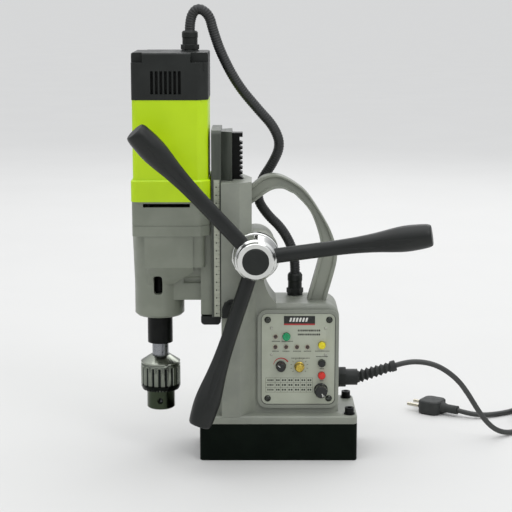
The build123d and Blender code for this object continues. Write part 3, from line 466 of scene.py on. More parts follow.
finishes = {
    # lime ABS, injection moulded: even, saturated, a satin skin with faint flow clouding
    "limeAbs": {
        "tones": ("#B9DC00", "#BFE208"), "cloud": (60, 2), "roughness": (0.36, 0.44), "smudge": 25,
        "grain": (0.9, 0.012), "shader": {"IOR": 1.53, "Specular IOR Level": 0.4},
    },
    # black ABS, spark-eroded mould: fine dull pitting that breaks up the highlights
    "blackAbs": {
        "tones": ("#1B1E1C", "#212422"), "cloud": (40, 3), "roughness": (0.42, 0.56), "smudge": 12,
        "grain": (0.7, 0.03), "soft": 0.8, "shader": {"IOR": 1.53, "Specular IOR Level": 0.28},
    },
    # grey enamel, sprayed over a sand casting: slight orange peel and soft waves of the casting beneath
    "greyEnamel": {
        "tones": ("#80847A", "#888C80"), "cloud": (45, 4), "roughness": (0.34, 0.5), "smudge": 18,
        "grain": (2.2, 0.05), "worn": (0.8, "#B4B6AC", 0.2, 0.44), "shader": {"IOR": 1.52},
    },
    # grey enamel, sprayed over a pressure die casting: smoother and a little greener
    "gearboxEnamel": {
        "tones": ("#777C6F", "#7E8376"), "cloud": (38, 4), "roughness": (0.3, 0.44), "smudge": 14,
        "grain": (1.6, 0.03), "shader": {"IOR": 1.52},
    },
    # pale grey enamel, screen printed sheet aluminium: flat, very fine texture
    "panelEnamel": {
        "tones": ("#A8AD9C", "#AEB3A3"), "cloud": (30, 3), "roughness": (0.4, 0.5), "smudge": 10,
        "grain": (0.6, 0.012), "shader": {"IOR": 1.5},
    },
    # black enamel, brushed on machined steel: rubbed to dull metal on its edges
    "magnetEnamel": {
        "tones": ("#060D08", "#0A120C"), "cloud": (26, 5), "roughness": (0.34, 0.58), "smudge": 20,
        "grain": (2.4, 0.05), "speckle": (1.0, -0.04, "#1B231E"),
        "worn": (0.9, "#8C8E86", 0.8, 0.38), "shader": {"IOR": 1.5, "Specular IOR Level": 0.06},
    },
    # copper winding, potted in resin: dark amber with brown clouding
    "pottedCopper": {
        "tones": ("#3A2012", "#5A3218"), "cloud": (12, 5), "roughness": (0.25, 0.5), "grain": (1.5, 0.05),
    },
    # black rubber, compression moulded: matte with a powdery bloom
    "mouldedRubber": {
        "tones": ("#232524", "#2C2F2D"), "cloud": (18, 4), "roughness": (0.55, 0.72), "smudge": 6,
        "grain": (0.5, 0.03), "shader": {"IOR": 1.5},
    },
    # black phenolic, compression moulded grips: dull sheen, worn smoother by hands
    "gripPhenolic": {
        "tones": ("#131614", "#191C1A"), "cloud": (50, 4), "roughness": (0.34, 0.46), "smudge": 30,
        "grain": (0.8, 0.015), "shader": {"IOR": 1.54, "Specular IOR Level": 0.32},
    },
    # black nylon, moulded corrugated conduit: low sheen
    "conduitNylon": {
        "tones": ("#191B1B", "#232525"), "cloud": (25, 3), "roughness": (0.38, 0.55), "smudge": 8,
        "grain": (0.6, 0.015), "shader": {"IOR": 1.53},
    },
    # PVC mains sheath, extruded: soft grey-black with long faint drag lines
    "pvcSheath": {
        "tones": ("#2E302E", "#383A38"), "cloud": (14, 3), "roughness": (0.42, 0.56), "grain": (0.5, 0.012),
        "shader": {"IOR": 1.52},
    },
    # chrome plate, polished: mirror with the faintest haze
    "chromePlate": {
        "tones": ("#D2D3D0", "#DADBD8"), "cloud": (20, 3), "roughness": (0.08, 0.16), "smudge": 6,
        "metallic": 1.0,
    },
    # ground steel, lightly oiled: fine lines drawn along the travel
    "groundSteel": {
        "tones": ("#A8A9A2", "#B9BAB3"), "cloud": (9, 5), "roughness": (0.24, 0.4), "smudge": 3,
        "stretch": (1, 1, 0.08), "grain": (0.9, 0.01), "metallic": 1.0,
    },
    # slideway steel, blackened and scraped: dark with lighter rubbed lines
    "slidewaySteel": {
        "tones": ("#3F443D", "#4A4F47"), "cloud": (8, 5), "roughness": (0.3, 0.46), "smudge": 4,
        "stretch": (1, 1, 0.1), "grain": (1.2, 0.012), "metallic": 0.75,
        "worn": (0.5, "#A7A99F", 1.0, 0.46),
    },
    # black oxide on steel, oiled: deep blue-black, soft shine
    "blackOxide": {
        "tones": ("#080A09", "#0F1110"), "cloud": (8, 4), "roughness": (0.3, 0.44), "smudge": 4,
        "grain": (0.8, 0.01), "metallic": 0.4, "worn": (0.3, "#5A5C59", 1.0, 0.4),
        "shader": {"Specular IOR Level": 0.15},
    },
    # black oxide on steel, tumbled bright: round heads that catch the light
    "domeOxide": {
        "tones": ("#3C3E3B", "#4C4F4A"), "cloud": (3, 4), "roughness": (0.14, 0.26), "metallic": 0.9,
        "grain": (0.6, 0.004),
    },
    # bright zinc plate, passivated: pale with a faint yellow-blue cast
    "zincPlate": {
        "tones": ("#A9ABA2", "#B8B9AE"), "cloud": (4, 4), "roughness": (0.26, 0.4), "metallic": 1.0,
        "grain": (0.6, 0.01),
    },
    # hardened steel, ground all over: cool grey
    "hardenedSteel": {
        "tones": ("#84868A", "#94969A"), "cloud": (6, 5), "roughness": (0.22, 0.36), "smudge": 3,
        "metallic": 1.0, "grain": (0.7, 0.008),
    },
    # chuck steel, turned and ground: lines around the body, a film of old oil, and a dark greenish painted
    # reflection low on the body
    "chuckSteel": {
        "tones": ("#8F9389", "#9B9F95"), "cloud": (22, 3), "roughness": (0.16, 0.26), "smudge": 8,
        "stretch": (0.3, 0.3, 1), "grain": (0.6, 0.003), "metallic": 1.0,
        # painted reflection: below 81 mm the body turns dark greenish, as if mirroring a dark table
        "below": (0.0810, 0.0840, "#3C4436"),
    },
    # sleeve steel, milled flutes: bright lands, painted shade darkening the flutes, and a black toothed rim
    "sleeveSteel": {
        "tones": ("#747970", "#80857B"), "cloud": (22, 3), "roughness": (0.16, 0.26), "smudge": 8,
        "stretch": (0.3, 0.3, 1), "grain": (0.6, 0.003), "metallic": 1.0,
        # painted shade: near black in the flutes, inside 24.2 mm of the chuck's axis
        "paintedFluteShade": (-0.152, 0.0242, 0.0250, "#14171A"), "below": (0.0890, 0.0905, "#181B19"),
    },
    # sintered bronze, turned: warm and slightly open
    "sinteredBronze": {
        "tones": ("#8A6A3A", "#A07C46"), "cloud": (3, 5), "roughness": (0.3, 0.5), "metallic": 1.0,
        "grain": (0.6, 0.02),
    },
    # brushed aluminium scale, clear lacquered: pale satin lines across it
    "scaleAluminium": {
        "tones": ("#A9AD9D", "#B7BAAA"), "cloud": (5, 5), "roughness": (0.34, 0.46), "smudge": 5,
        "stretch": (0.2, 1, 1), "metallic": 0.35, "grain": (0.5, 0.006),
    },
    # gold anodised aluminium, turned: clear amber film over fine turning marks
    "goldAnodised": {
        "tones": ("#B29A45", "#C9B257"), "cloud": (3, 4), "roughness": (0.2, 0.34), "smudge": 2,
        "stretch": (1, 0.2, 1), "metallic": 1.0, "grain": (0.4, 0.008),
    },
    # moulded black caps and knobs, glossy thermoplastic
    "blackCap": {
        "tones": ("#101211", "#171918"), "cloud": (5, 2), "roughness": (0.22, 0.34), "grain": (0.6, 0.006),
    },
    # smoked acrylic lamp lens, moulded: dark brown, wet shine
    "smokedAcrylic": {
        "tones": ("#2C1D16", "#3B261C"), "cloud": (2, 3), "roughness": (0.08, 0.16), "grain": (0.8, 0.006),
        "shader": {"IOR": 1.49, "Coat Weight": 0.5},
    },
    # glass-epoxy board under green solder mask
    "solderMask": {
        "tones": ("#0F3B22", "#155030"), "cloud": (4, 4), "roughness": (0.3, 0.5), "grain": (0.8, 0.02),
    },
    # nickel plate on turned brass
    "nickelPlate": {
        "tones": ("#B9B4A4", "#C8C3B4"), "cloud": (3, 4), "roughness": (0.16, 0.3), "metallic": 1.0,
        "grain": (0.5, 0.006),
    },
    # stacked electrical sheet: fine dark lines between the layers
    "stackedSheet": {
        "tones": ("#3E3E40", "#6A6A6C"), "cloud": (1.2, 2), "roughness": (0.35, 0.55), "metallic": 0.9,
        "stretch": (0.05, 0.05, 1), "grain": (0.8, 0.02),
    },
    # black screen printing ink, dried on enamel: flatter than the colours
    "blackInk": {
        "tones": ("#191B18", "#232521"), "cloud": (4, 3), "roughness": (0.5, 0.64), "grain": (0.4, 0.004),
    },
    # woven nylon hook-and-loop tape
    "wovenTape": {
        "tones": ("#1A1B1C", "#2A2B2D"), "cloud": (0.9, 2), "roughness": (0.7, 0.85), "grain": (0.8, 0.12),
        "shader": {"Sheen Weight": 0.4, "Sheen Roughness": 0.6},
    },
}
capTones = {  # moulded button caps, glossy thermoplastic
    "greenCap": ("#0C8A55", "#119660"), "yellowCap": ("#D8C912", "#E2D422"),
    "redCap": ("#C4241B", "#D02E22"),
}
inkTones = {"redInk": ("#A32A2C", "#B03432"), "whiteInk": ("#D4D5CE", "#DEDFD8")}  # screen printing inks
for name, tones in capTones.items():
    finishes[name] = {"tones": tones, "cloud": (5, 2), "roughness": (0.2, 0.3), "grain": (0.6, 0.004)}
for name, tones in inkTones.items():
    finishes[name] = {"tones": tones, "cloud": (4, 3), "roughness": (0.45, 0.6), "grain": (0.4, 0.004)}
made = {name: makeFinish(name, look) for name, look in finishes.items()}

nodeFinish = {
    "greyEnamel": ["stand_casting", "carry_handle"],
    "gearboxEnamel": ["gearbox_housing"],
    "panelEnamel": ["control_panel"],
    "magnetEnamel": ["magnet_body"],
    "pottedCopper": ["magnet_coil"],
    "blackOxide": [
        "base_bolts", "panel_screws", "gib_screws", "shaft_end_cap", "feed_rack", "slide_screws", "spindle",
    ],
    "smokedAcrylic": ["indicator_lenses"],
    "solderMask": ["circuit_board"],
    "blackAbs": [
        "control_switchgear", "travel_stop", "housing_gland", "cable_clamp", "hub_cap", "slide_end_block",
        "motor_cap", "cap_gland",
    ],
    "groundSteel": ["gib_strip", "lever_rods", "bearing_plate"],
    "sinteredBronze": ["shaft_bushes", "brush_holders"],
    "conduitNylon": ["conduit"],
    "mouldedRubber": ["strain_relief", "plug_body"],
    "pvcSheath": ["cord_tube", "cord_coil", "cord_tail"],
    "nickelPlate": ["plug_pins"],
    "greenCap": ["green_button"],
    "yellowCap": ["yellow_button"],
    "blackCap": ["black_button", "speed_knob", "selector_knob"],
    "redCap": ["red_button"],
    "goldAnodised": ["torque_knob"],
    "hardenedSteel": [
        "pinion_shaft", "head_bearings", "spindle_gear", "chuck_jaw_1", "chuck_jaw_2", "chuck_jaw_3",
        "layshaft", "chuck_arbor",
    ],
    "chromePlate": ["capstan_hub"],
    "gripPhenolic": ["lever_grips"],
    "slidewaySteel": ["slide_plate"],
    "scaleAluminium": ["scale_strip"],
    "limeAbs": ["motor_housing"],
    "zincPlate": ["cap_screws"],
    "stackedSheet": ["motor_stator", "armature"],
    "chuckSteel": ["chuck_body"],
    "sleeveSteel": ["chuck_sleeve"],
}
finishOf = {node: name for name, nodes in nodeFinish.items() for node in nodes}
for nodeName, finishName in finishOf.items():
    wear(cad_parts[nodeName], made[finishName])
wear(mainsLead, made["pvcSheath"])
wear(cableConduit, made["conduitNylon"])
floorPaint = makeFinish("floorPaint", {
    "tones": ("#D0D0CE", "#D1D1CF"), "cloud": (300, 2), "roughness": (0.8, 0.9),
    "shader": {"Specular IOR Level": 0.0},
})
wear(floor, floorPaint)
print("finishes ready:", len(made))

def dress(piece, finishName, body):
    # a piece's finish and the body it rides on
    wear(piece, made[finishName])
    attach(piece, body)


# softened castings, mouldings and machined parts

softening = {
    "merge": 1e-6,             # metres, corners closer than this become one
    "flatDegrees": 0.8,        # faces within this of each other are joined
    "edgeDegrees": 32,         # edges sharper than this are rounded
    "segments": 2,
    "smoothDegrees": 26,
}


def softenedCopy(name, node, body, radius):
    # a merged copy of a CAD part: flat faces joined, then every sharp edge rounded to a radius in mm
    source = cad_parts[node]
    mesh = source.data.copy()
    mesh.name = name
    work = bmesh.new()
    work.from_mesh(mesh)
    bmesh.ops.remove_doubles(work, verts=work.verts, dist=softening["merge"])
    bmesh.ops.dissolve_limit(
        work, angle_limit=math.radians(softening["flatDegrees"]), verts=work.verts, edges=work.edges
    )
    work.to_mesh(mesh)
    work.free()
    copy = bpy.data.objects.new(name, mesh)
    bpy.context.scene.collection.objects.link(copy)
    bevel = copy.modifiers.new("roundedEdges", "BEVEL")
    bevel.width = radius / 1000
    bevel.segments = softening["segments"]
    bevel.limit_method = "ANGLE"
    bevel.angle_limit = math.radians(softening["edgeDegrees"])
    bevel.use_clamp_overlap = True
    bevel.miter_outer = "MITER_ARC"
    rounded = bpy.data.meshes.new_from_object(copy.evaluated_get(bpy.context.evaluated_depsgraph_get()))
    copy.modifiers.clear()
    copy.data = rounded
    rounded.shade_smooth()
    rounded.set_sharp_from_angle(angle=math.radians(softening["smoothDegrees"]))
    dress(copy, finishOf[node], body)
    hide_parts(node)
    return copy


softened = [
    # piece, CAD part, body, edge radius in mm, the record's slot
    ("magnetBlock", "magnet_body", "stand", 1.0, "magnet_black"),
    ("standCasting", "stand_casting", "stand", 1.2, "grey_enamel"),
    ("facePlate", "control_panel", "stand", 0.35, "panel_grey"),
    ("slideway", "slide_plate", "head", 0.6, "slide_steel"),
    ("slideGuard", "slide_end_block", "head", 1.2, "black_plastic"),
    ("gearboxCasting", "gearbox_housing", "head", 1.2, "grey_enamel"),
    ("chuckBody", "chuck_body", "spindle_assembly", 0.4, "ground_steel"),
    ("chuckSleeve", "chuck_sleeve", "chuck_sleeve", 0.25, "ground_steel"),
    ("spindleNose", "spindle", "spindle_assembly", 0.6, "blackened_steel"),
    ("travelStop", "travel_stop", "stand", 0.8, "black_plastic"),
    ("cableClamp", "cable_clamp", "stand", 0.5, "black_plastic"),
    ("plugBody", "plug_body", "stand", 1.0, "black_rubber"),
]
for name, node, body, radius, slotName in softened:
    copy = softenedCopy(name, node, body, radius)
    print("softened", name, len(copy.data.polygons), "faces")

# lever grips

gripSettings = {
    "centre": (-0.029, -0.0705, 0.266),     # where the levers' lines meet, on the hub's axis
    "angles": (9.4, 131.9, 251.1),          # degrees, from level, seen from the front
    "lean": 9.5,                            # degrees towards the operator
    "profile": [                            # distance out and radius, mm
        (21.6, 0), (21.6, 5), (21.7, 8.6), (22.6, 9.2), (26, 9.3), (50, 9.25), (80, 9.25), (105, 9.4),
        (128, 10.2), (150, 12.0), (168, 14.3), (180, 15.6), (190, 15.9), (199, 15.5), (207, 14.9),
        (213, 14.1), (216, 13.0), (217.4, 11.4), (217.5, 8), (217.4, 0),
    ],
    "rings": 240,
    "around": 112,
    "groove": (151, 47, 3.6, 1.3),          # middle along, half length, half width, depth, mm
    "seam": (0.45, 0.15),                   # half width and height of the parting line, mm
}


def leverGrid(g, angle):
    # radius along the grip from its profile, less a lens-shaped groove on two faces, plus a parting line;
    # the groove's depth is (1 - (across / lens) ** 2) ** 0.3, so it has a flat floor and crisp sides
    along, radius = smoothLine(g["profile"], g["rings"]).T
    turn = np.linspace(0, 2 * np.pi, g["around"], endpoint=False)[:, None]
    middle, halfLength, halfWidth, depth = g["groove"]
    taper = np.clip(1 - ((along - middle) / halfLength) ** 2, 0, 1)
    lens = halfWidth * taper
    cut = np.zeros((len(turn), len(along)))
    for facing in (-np.pi / 2, np.pi / 2):
        across = (np.mod(turn - facing + np.pi, 2 * np.pi) - np.pi) * radius
        inside = np.clip(1 - (across / np.maximum(lens, 0.01)) ** 2, 0, 1) * (lens > 0.05)
        cut += depth * inside ** 0.3 * np.sqrt(taper)
    seamWidth, seamHeight = g["seam"]
    for facing in (0, np.pi):
        across = (np.mod(turn - facing + np.pi, 2 * np.pi) - np.pi) * radius
        cut -= seamHeight * np.exp(-(across / seamWidth) ** 2) * (radius > 9)
    r = np.maximum(radius - cut * (radius > 6), 0)
    grid = np.stack([r * np.cos(turn), r * np.sin(turn), along + 0 * turn], axis=-1) / 1000
    out, lean = math.radians(angle), math.radians(g["lean"])
    axis = np.array([math.cos(lean) * math.cos(out), -math.sin(lean), math.cos(lean) * math.sin(out)])
    side = np.cross((0, 1, 0), axis)
    side /= np.linalg.norm(side)
    return np.array(g["centre"]) + grid @ np.array([side, np.cross(axis, side), axis])


leverGrips = gridPiece(
    "leverGrips", [leverGrid(gripSettings, a) for a in gripSettings["angles"]], smoothDegrees=50
)
dress(leverGrips, "gripPhenolic", "capstan")
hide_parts("lever_grips")
print("lever grips ready")

# carry handle

handleSettings = {
    "outer": [
        (-34, 348), (-18.5, 359.4), (0.1, 360.9), (21, 350.6), (37.3, 336.3), (56, 308), (69.5, 281.3),
        (74.3, 254), (60.8, 200)
    ],
    "inner": [
        (-34, 324), (-11, 340.4), (3.8, 343.4), (14, 339.4), (22.5, 334.2), (41.2, 311.6), (53.4, 272),
        (50, 251), (36.3, 200)
    ],
    "halfDepth": 10.0,
    # cross section as (share across, share of the half depth): a web between two raised lips
    "section": [
        (0.03, 1.0), (0.13, 1.0), (0.17, 0.96), (0.2, 0.72), (0.25, 0.62), (0.75, 0.62), (0.8, 0.72),
        (0.83, 0.96), (0.87, 1.0), (0.97, 1.0), (1.0, 0.94),
    ],
    "steps": 120,
}


def handleGrid(h):
    # each section point lies between the inner and outer lines: inner + share * (outer - inner)
    outer, inner = smoothLine(h["outer"], h["steps"]), smoothLine(h["inner"], h["steps"])
    front = np.array(h["section"])
    section = np.concatenate([front * (1, -1), front[::-1]])
    ring = inner[:, None] + section[None, :, :1] * (outer - inner)[:, None]
    depth = np.broadcast_to(section[None, :, 1] * h["halfDepth"], ring.shape[:2])
    grid = np.stack([ring[..., 0], depth, ring[..., 1]], axis=-1)
    ends = [np.repeat(grid[k].mean(axis=0)[None, None], len(section), axis=1) for k in (0, -1)]
    return np.concatenate([ends[0], grid, ends[1]], axis=0).transpose(1, 0, 2) / 1000


handleArch = gridPiece("handleArch", [handleGrid(handleSettings)], smoothDegrees=28)
dress(handleArch, "greyEnamel", "stand")
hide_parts("carry_handle")
print("handle ready")

# control panel printing

panelFront = -0.032           # metres, the panel's face along Y
inkDepth = 0.00002            # how far ink and plates reach into the face behind them
printSettings = {
    "rise": 0.00008,          # ink thickness
    "badge": (6.8, 46.1, 172.9, 184.6),
    "badgeRise": 0.0004,
    "stripeHeight": 1.9,
    "bars": (13.4, 37.6, 177.2, 182.4, 6, 1.4),    # left, right, low, high, count, slant
    "barRise": 0.00006,
    "table": (-16.2, 43.4, 84.9, 103.8),
    "tableRows": 3,
    "tableColumns": (0, 0.2, 0.32, 0.46, 0.6, 0.74, 0.87, 1),
    "line": 0.28,
    "scaleMiddle": (3.1, 120),
    "torqueMiddle": (26.5, 119),
    "captions": [             # left, right, height above the floor, marks
        (-8.4, 1.6, 151.2, 7), (4.0, 18, 151.2, 9), (-8.2, 0.4, 138.3, 6), (5.2, 14, 138.3, 6),
        (18.6, 28.4, 138.3, 7), (32.2, 41.4, 138.3, 6), (46.6, 64.6, 138.4, 11), (48, 62.8, 131.2, 9),
        (16.4, 39.6, 129.2, 13), (52.6, 57.6, 115.3, 3), (52.8, 57.4, 99.4, 3),
        (24.4, 52.6, 164.6, 12), (24.4, 52.6, 159.4, 13),
    ],
    "selectorMiddle": (54, 88.5),
    "selectorFront": -0.047,
    "speedFront": -0.045,
}


def inkBoxes(rectangles, base, rise):
    # flat rectangles (x0, x1, z0, z1) in mm, standing a little in front of the panel
    r = np.asarray(rectangles, dtype=float) / 1000
    front, back = np.full(len(r), base - rise), np.full(len(r), base + inkDepth)
    return np.column_stack([r[:, 0], r[:, 1], front, back, r[:, 2], r[:, 3]])


def turnedDashes(middle, radius, length, width, degrees, base, rise):
    # a dash at each angle: corners at radius +- length / 2 along, +- width / 2 across
    a = np.radians(np.asarray(degrees, dtype=float))[:, None, None]
    along = np.array([-0.5, 0.5, 0.5, -0.5, -0.5, 0.5, 0.5, -0.5])[None, :, None] * length + radius
    across = np.array([-0.5, -0.5, 0.5, 0.5, -0.5, -0.5, 0.5, 0.5])[None, :, None] * width
    y = np.array([base - rise] * 4 + [base + inkDepth] * 4)[None, :, None] + 0 * a
    x = (middle[0] + along * np.cos(a) - across * np.sin(a)) / 1000
    z = (middle[1] + along * np.sin(a) + across * np.cos(a)) / 1000
    corners = np.concatenate([x, y, z], axis=-1)
    return corners.reshape(-1, 3), blockFaces(len(corners))


def labelRow(x0, x1, z, height, marks, seed):
    # a row of small marks of varied width, standing for a printed caption
    rng = np.random.default_rng(seed)
    widths = rng.uniform(0.55, 1.0, marks)
    gaps = 0.35 * np.ones(marks)
    spans = np.cumsum(widths + gaps)
    scale = (x1 - x0) / (spans[-1] - gaps[-1])
    starts = x0 + (spans - widths - gaps) * scale
    return [(s, s + w * scale, z, z + height) for s, w in zip(starts, widths)]


def panelInk(p):
    # table rules at even heights and at set shares of the width, captions as rows of marks in its
    # cells and beside the controls, and dial dashes at even angles
    x0, x1, z0, z1 = p["table"]
    half = p["line"] / 2
    rows = np.linspace(z0, z1, p["tableRows"] + 1)
    rectangles = [(x0 - half, x1 + half, z - half, z + half) for z in rows]
    columns = x0 + (x1 - x0) * np.array(p["tableColumns"])
    rectangles += [(x - half, x + half, z0, z1) for x in columns]
    rowStep = (z1 - z0) / p["tableRows"]
    for row in range(p["tableRows"]):
        z = z0 + row * rowStep + rowStep * 0.34
        for k in range(len(columns) - 1):
            room = columns[k + 1] - columns[k]
            marks = 5 if k == 0 else 2
            rectangles += labelRow(
                columns[k] + 0.14 * room + 0.4, columns[k + 1] - 0.14 * room - 0.4, z, 2.2, marks,
                10 * row + k
            )
    for number, (left, right, z, marks) in enumerate(p["captions"]):
        height = 2.4 if z > 159 else 1.0
        rectangles += labelRow(left, right, z, height, marks, 100 + number)
    parts = [boxArrays(inkBoxes(rectangles, panelFront, p["rise"]))]
    parts.append(
        turnedDashes(p["torqueMiddle"], 10.4, 2.2, 0.5, np.arange(-40, 221, 26), panelFront, p["rise"])
    )
    return joined(parts)


panelPrint = pieceFromArrays("panelPrint", *panelInk(printSettings))


def arcBand(middle, inner, outer, fromDegrees, toDegrees, base, rise):
    # a band whose width grows along its arc, as a closed grid: four corners carried round
    a = np.radians(np.linspace(fromDegrees, toDegrees, 40))
    share = np.linspace(0, 1, 40)
    low = inner + 0 * share
    high = inner + (outer - inner) * (0.35 + 0.65 * share)
    ring = np.stack([low, high, high, low])
    depth = np.array([base - rise, base - rise, base + inkDepth, base + inkDepth])[:, None] + 0 * ring
    grid = np.stack(
        [(middle[0] + ring * np.cos(a)) / 1000, depth, (middle[1] + ring * np.sin(a)) / 1000], axis=-1
    )
    ends = [np.repeat(grid[:, k].mean(axis=0)[None, None], 4, axis=0) for k in (0, -1)]
    return np.concatenate([ends[0], grid, ends[1]], axis=1)


speedArc = gridPiece(
    "speedArc",
    [arcBand(printSettings["scaleMiddle"], 9.0, 10.9, 172, 28, panelFront, printSettings["rise"])]
)

x0, x1, z0, z1 = printSettings["badge"]
stripeTop = z0 + printSettings["stripeHeight"]
badgeRise = printSettings["badgeRise"]
badgePlate = pieceFromArrays(
    "badgePlate", *boxArrays(inkBoxes([(x0, x1, stripeTop, z1)], panelFront, badgeRise))
)
badgeStripe = pieceFromArrays(
    "badgeStripe", *boxArrays(inkBoxes([(x0, x1, z0, stripeTop)], panelFront, badgeRise))
)


def slantedBars(left, right, low, high, count, slant, base, rise):
    # parallelogram bars: the top edge moved along by the slant
    pitch = (right - left) / count
    start = left + pitch * np.arange(count)
    end = start + pitch * 0.62
    x = np.stack([start, end, end + slant, start + slant], axis=1) / 1000
    z = np.broadcast_to(np.array([low, low, high, high]) / 1000, x.shape)
    front = np.stack([x, np.full_like(x, base - rise), z], axis=-1)
    back = np.stack([x, np.full_like(x, base + inkDepth), z], axis=-1)
    corners = np.concatenate([front, back], axis=1)
    return corners.reshape(-1, 3), blockFaces(count)


badgeBars = pieceFromArrays(
    "badgeBars", *slantedBars(*printSettings["bars"], panelFront - badgeRise, printSettings["barRise"]),
)
selectorMark = pieceFromArrays("selectorMark", *joined([
    turnedDashes(
        printSettings["selectorMiddle"], radius, length, width, [-62], printSettings["selectorFront"],
        printSettings["rise"],
    ) for radius, length, width in [(4.2, 4.4, 1.0), (5.6, 1.4, 2.8)]
]))
speedMark = pieceFromArrays("speedMark", *turnedDashes(
    printSettings["scaleMiddle"], 3.0, 3.6, 0.8, [140], printSettings["speedFront"], printSettings["rise"],
))
for piece, ink, body, slotName in [
    (panelPrint, "blackInk", "stand", "black_cap"), (speedArc, "redInk", "stand", "red_cap"),
    (badgePlate, "blackInk", "stand", "black_cap"), (badgeStripe, "redInk", "stand", "red_cap"),
    (badgeBars, "whiteInk", "stand", "scale_enamel"),
    (selectorMark, "whiteInk", "selector_knob", "scale_enamel"),
    (speedMark, "whiteInk", "speed_knob", "scale_enamel"),
]:
    dress(piece, ink, body)
print("panel printing ready")

# panel fasteners and lamps


def onPanel(grid, spots):
    # a turned grid in mm stood on the panel's face at each spot
    return [frameGrid(grid, (x, panelFront * 1000, z), (0, -1, 0)) / 1000 for x, z in spots]


def domesPiece(name, spots, profile, around, material, body):
    # one turned profile (radius, reach in mm) at each spot
    piece = gridPiece(name, onPanel(turnedGrid(profile, around), spots), smoothDegrees=35)
    dress(piece, material, body)
    return piece


fastenerSettings = {
    "screws": [(x, z) for x in (-13.8, 64.2) for z in (179.6, 76.8)],
    "rivets": [(x, z) for x in (-9, 59.8) for z in (168.8, 134.2)],
    "lamps": [(-3.8, 157.8), (-4, 144.3), (9.6, 144.3), (23.3, 144.3), (36.8, 144.3)],
    # radius and reach in mm, from the foot round the dome; the screw ends in a round recess
    "screwProfile": [
        (0, -2), (1.8, -2), (1.8, 0), (4.2, 0), (4.2, 0.3), (4.0, 0.9), (3.5, 1.5), (2.8, 1.95),
        (1.9, 2.25), (1.5, 2.3), (1.3, 1.5), (0, 1.4),
    ],
    "rivetProfile": [(0, -1), (1, -1), (1, 0), (1.9, 0), (1.85, 0.25), (1.5, 0.62), (0.9, 0.85), (0, 0.92)],
    "bezelProfile": [(2.45, -0.4), (3.45, -0.4), (3.45, 0.55), (3.2, 0.95), (2.85, 1.0), (2.45, 0.8)],
}
domesPiece(
    "panelRivets", fastenerSettings["rivets"], fastenerSettings["rivetProfile"], 28, "zincPlate", "stand",
)
panelScrews = domesPiece(
    "panelScrews", fastenerSettings["screws"], fastenerSettings["screwProfile"], 44, "domeOxide", "stand",
)
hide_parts("panel_screws")
lampBezels = gridPiece(
    "lampBezels", onPanel(turnedGrid(fastenerSettings["bezelProfile"], 36), fastenerSettings["lamps"]),
    wrapV=True, smoothDegrees=35,
)
dress(lampBezels, "nickelPlate", "stand")

# painted shade: a dark rubber-toned band round the panel's edge draws the shaded gap between panel and rim
gapShadeSettings = {
    "middle": (25, 128.5), "size": (94.3, 119.3), "corner": 8.2,    # mm
    "width": 0.6,                                # mm, either side of the line
    "front": -0.03208, "back": -0.0312,          # metres along Y
    "cornerSteps": 12,
}


def gapShadeGrid(s):
    # a band of even width round a rounded rectangle: corner centre + r (cos a, sin a), a quarter at a time
    quarter = np.radians(np.linspace(0, 90, s["cornerSteps"]))
    spread = np.array([[1, 1], [-1, 1], [-1, -1], [1, -1]]) * (np.array(s["size"]) / 2 - s["corner"])
    angle = np.concatenate([quarter + k * np.pi / 2 for k in range(4)])
    centre = np.repeat(spread, s["cornerSteps"], axis=0)
    rings = []
    for shift, y in [(-1, s["front"]), (1, s["front"]), (1, s["back"]), (-1, s["back"])]:
        r = s["corner"] + shift * s["width"]
        x = s["middle"][0] + centre[:, 0] + r * np.cos(angle)
        z = s["middle"][1] + centre[:, 1] + r * np.sin(angle)
        rings.append(np.stack([x / 1000, y + 0 * x, z / 1000], axis=-1))
    return np.stack(rings, axis=1)


# painted shade: the band's dark finish stands for the shade in the gap round the panel
panelGapShade = gridPiece("panelGapShade", [gapShadeGrid(gapShadeSettings)], wrapV=True)
dress(panelGapShade, "mouldedRubber", "stand")
print("panel fasteners ready")

# feed scale marks

scaleSettings = {
    "x": (-81.4, -73.1), "front": -0.041, "low": 186, "high": 359, "step": 5, "rise": 0.00008,
}


def scaleInk(s):
    # a tick every 5 mm, a longer one every 10 mm with a square dot, and a border down each side
    heights = np.arange(s["low"] + 4, s["high"] - 2, s["step"])
    left, right = s["x"]
    rectangles = []
    for count, z in enumerate(heights):
        reach = 2.6 if count % 2 == 0 else 1.5
        rectangles.append((right - 0.9 - reach, right - 0.9, z - 0.16, z + 0.16))
        if count % 2 == 0:
            rectangles.append((left + 2.6, left + 4.2, z - 0.8, z + 0.8))
    rectangles.append((left + 0.05, left + 0.45, s["low"] + 0.2, s["high"] - 0.2))
    rectangles.append((right - 0.75, right - 0.05, s["low"] + 0.2, s["high"] - 0.2))
    return boxArrays(inkBoxes(rectangles, s["front"], s["rise"]))


scalePrint = pieceFromArrays("scalePrint", *scaleInk(scaleSettings))
dress(scalePrint, "blackInk", "head")
print("feed scale ready")

# tie round the coil

tieSettings = {
    "angle": 212,                 # degrees round the coil
    "radius": 38.5,               # mm, from the coil's middle to the bundle's
    "halfWide": 8.5, "halfAcross": 12.0, "low": 0.6, "high": 22.6, "thick": 1.1,
    "power": 4.5,                 # how square the loop is
    "floorGap": 0.15,
    "around": 72,
}


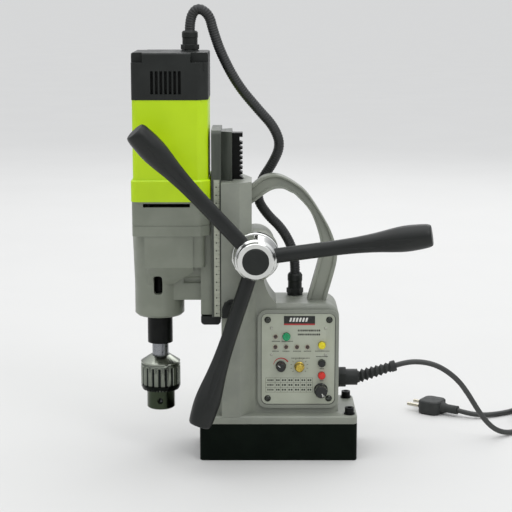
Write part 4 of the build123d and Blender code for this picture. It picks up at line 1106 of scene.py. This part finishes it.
def tieGrid(t):
    # a rounded loop round the bundle of turns, as a strap of even width: superellipse |u|^p + |v|^p = 1
    turn = np.linspace(0, 2 * np.pi, t["around"], endpoint=False)
    power = 2 / t["power"]
    cosine, sine = np.cos(turn), np.sin(turn)
    u, v = np.sign(cosine) * np.abs(cosine) ** power, np.sign(sine) * np.abs(sine) ** power
    middle, halfHigh = (t["low"] + t["high"]) / 2, (t["high"] - t["low"]) / 2
    strap = []
    for extra, wide in [(0, -1), (t["thick"], -1), (t["thick"], 1), (0, 1)]:
        r = t["radius"] + u * (t["halfAcross"] + extra)
        z = np.maximum(middle + v * (halfHigh + extra), t["floorGap"])
        along = wide * t["halfWide"] + 0 * r
        strap.append(np.stack([r, along, z], axis=-1))
    grid = np.stack(strap, axis=1)
    a = math.radians(t["angle"])
    middleX, middleY = mainsCord["coilMiddle"]
    x = middleX + grid[..., 0] * math.cos(a) - grid[..., 1] * math.sin(a)
    y = middleY + grid[..., 0] * math.sin(a) + grid[..., 1] * math.cos(a)
    return np.stack([x, y, grid[..., 2]], axis=-1) / 1000


cordTie = gridPiece("cordTie", [tieGrid(tieSettings)], wrapV=True, smoothDegrees=40)
dress(cordTie, "wovenTape", "stand")
print("cord tie ready")

# strain relief

bootSettings = {
    "start": (103, 5, 95), "end": (153, 5, 110.5),    # mm, from the clamp to where the cord leaves
    "rings": 230, "around": 40,
    "pitch": 6.4,                                      # one turn of the ribbing
    "tooth": 3.6,                                      # how far each rib stands at the clamp end
    "radii": (9.2, 6.6),                               # over the ribs, at the clamp and at the cord
    "fade": 0.45,                                      # share of the ribs' height lost by the cord end
    "root": 7.6, "collar": 7.2, "collarLength": 7.5,   # plain ends
    "inside": -4,                                      # where it starts, within the clamp
}


def bootGrid(b):
    # ribs run round as a screw thread: r = top - tooth * (1 - |2 frac(turn + s / pitch) - 1|) ** 0.9
    start, end = np.array(b["start"], dtype=float), np.array(b["end"], dtype=float)
    length = np.linalg.norm(end - start)
    s = np.linspace(b["inside"], length, b["rings"])
    share = np.clip(s / length, 0, 1)
    turn = np.linspace(0, 1, b["around"], endpoint=False)[:, None]
    top = b["radii"][0] + (b["radii"][1] - b["radii"][0]) * share
    wave = np.mod(turn + s / b["pitch"], 1)
    tooth = b["tooth"] * (1 - b["fade"] * share)
    ribbed = top - tooth * np.abs(2 * wave - 1) ** 0.9
    root, collar = np.full_like(ribbed, b["root"]), np.full_like(ribbed, b["collar"])
    into = np.clip((s - 1.0) / 1.5, 0, 1)
    out = np.clip((s - (length - b["collarLength"])) / 0.8, 0, 1)
    r = root * (1 - into) + ribbed * into
    r = r * (1 - out) + collar * out
    r = np.where(s > length - 0.6, r - 1.0, r)
    local = np.stack([r * np.cos(2 * np.pi * turn), r * np.sin(2 * np.pi * turn), s + 0 * turn], axis=-1)
    ends = [np.repeat(np.array([0, 0, k])[None, None], b["around"], axis=0) for k in (s[0], s[-1])]
    local = np.concatenate([ends[0], local, ends[1]], axis=1)
    return frameGrid(local, start, end - start) / 1000


strainBoot = gridPiece("strainBoot", [bootGrid(bootSettings)], smoothDegrees=40)
dress(strainBoot, "mouldedRubber", "stand")
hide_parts("strain_relief")
print("strain relief ready")
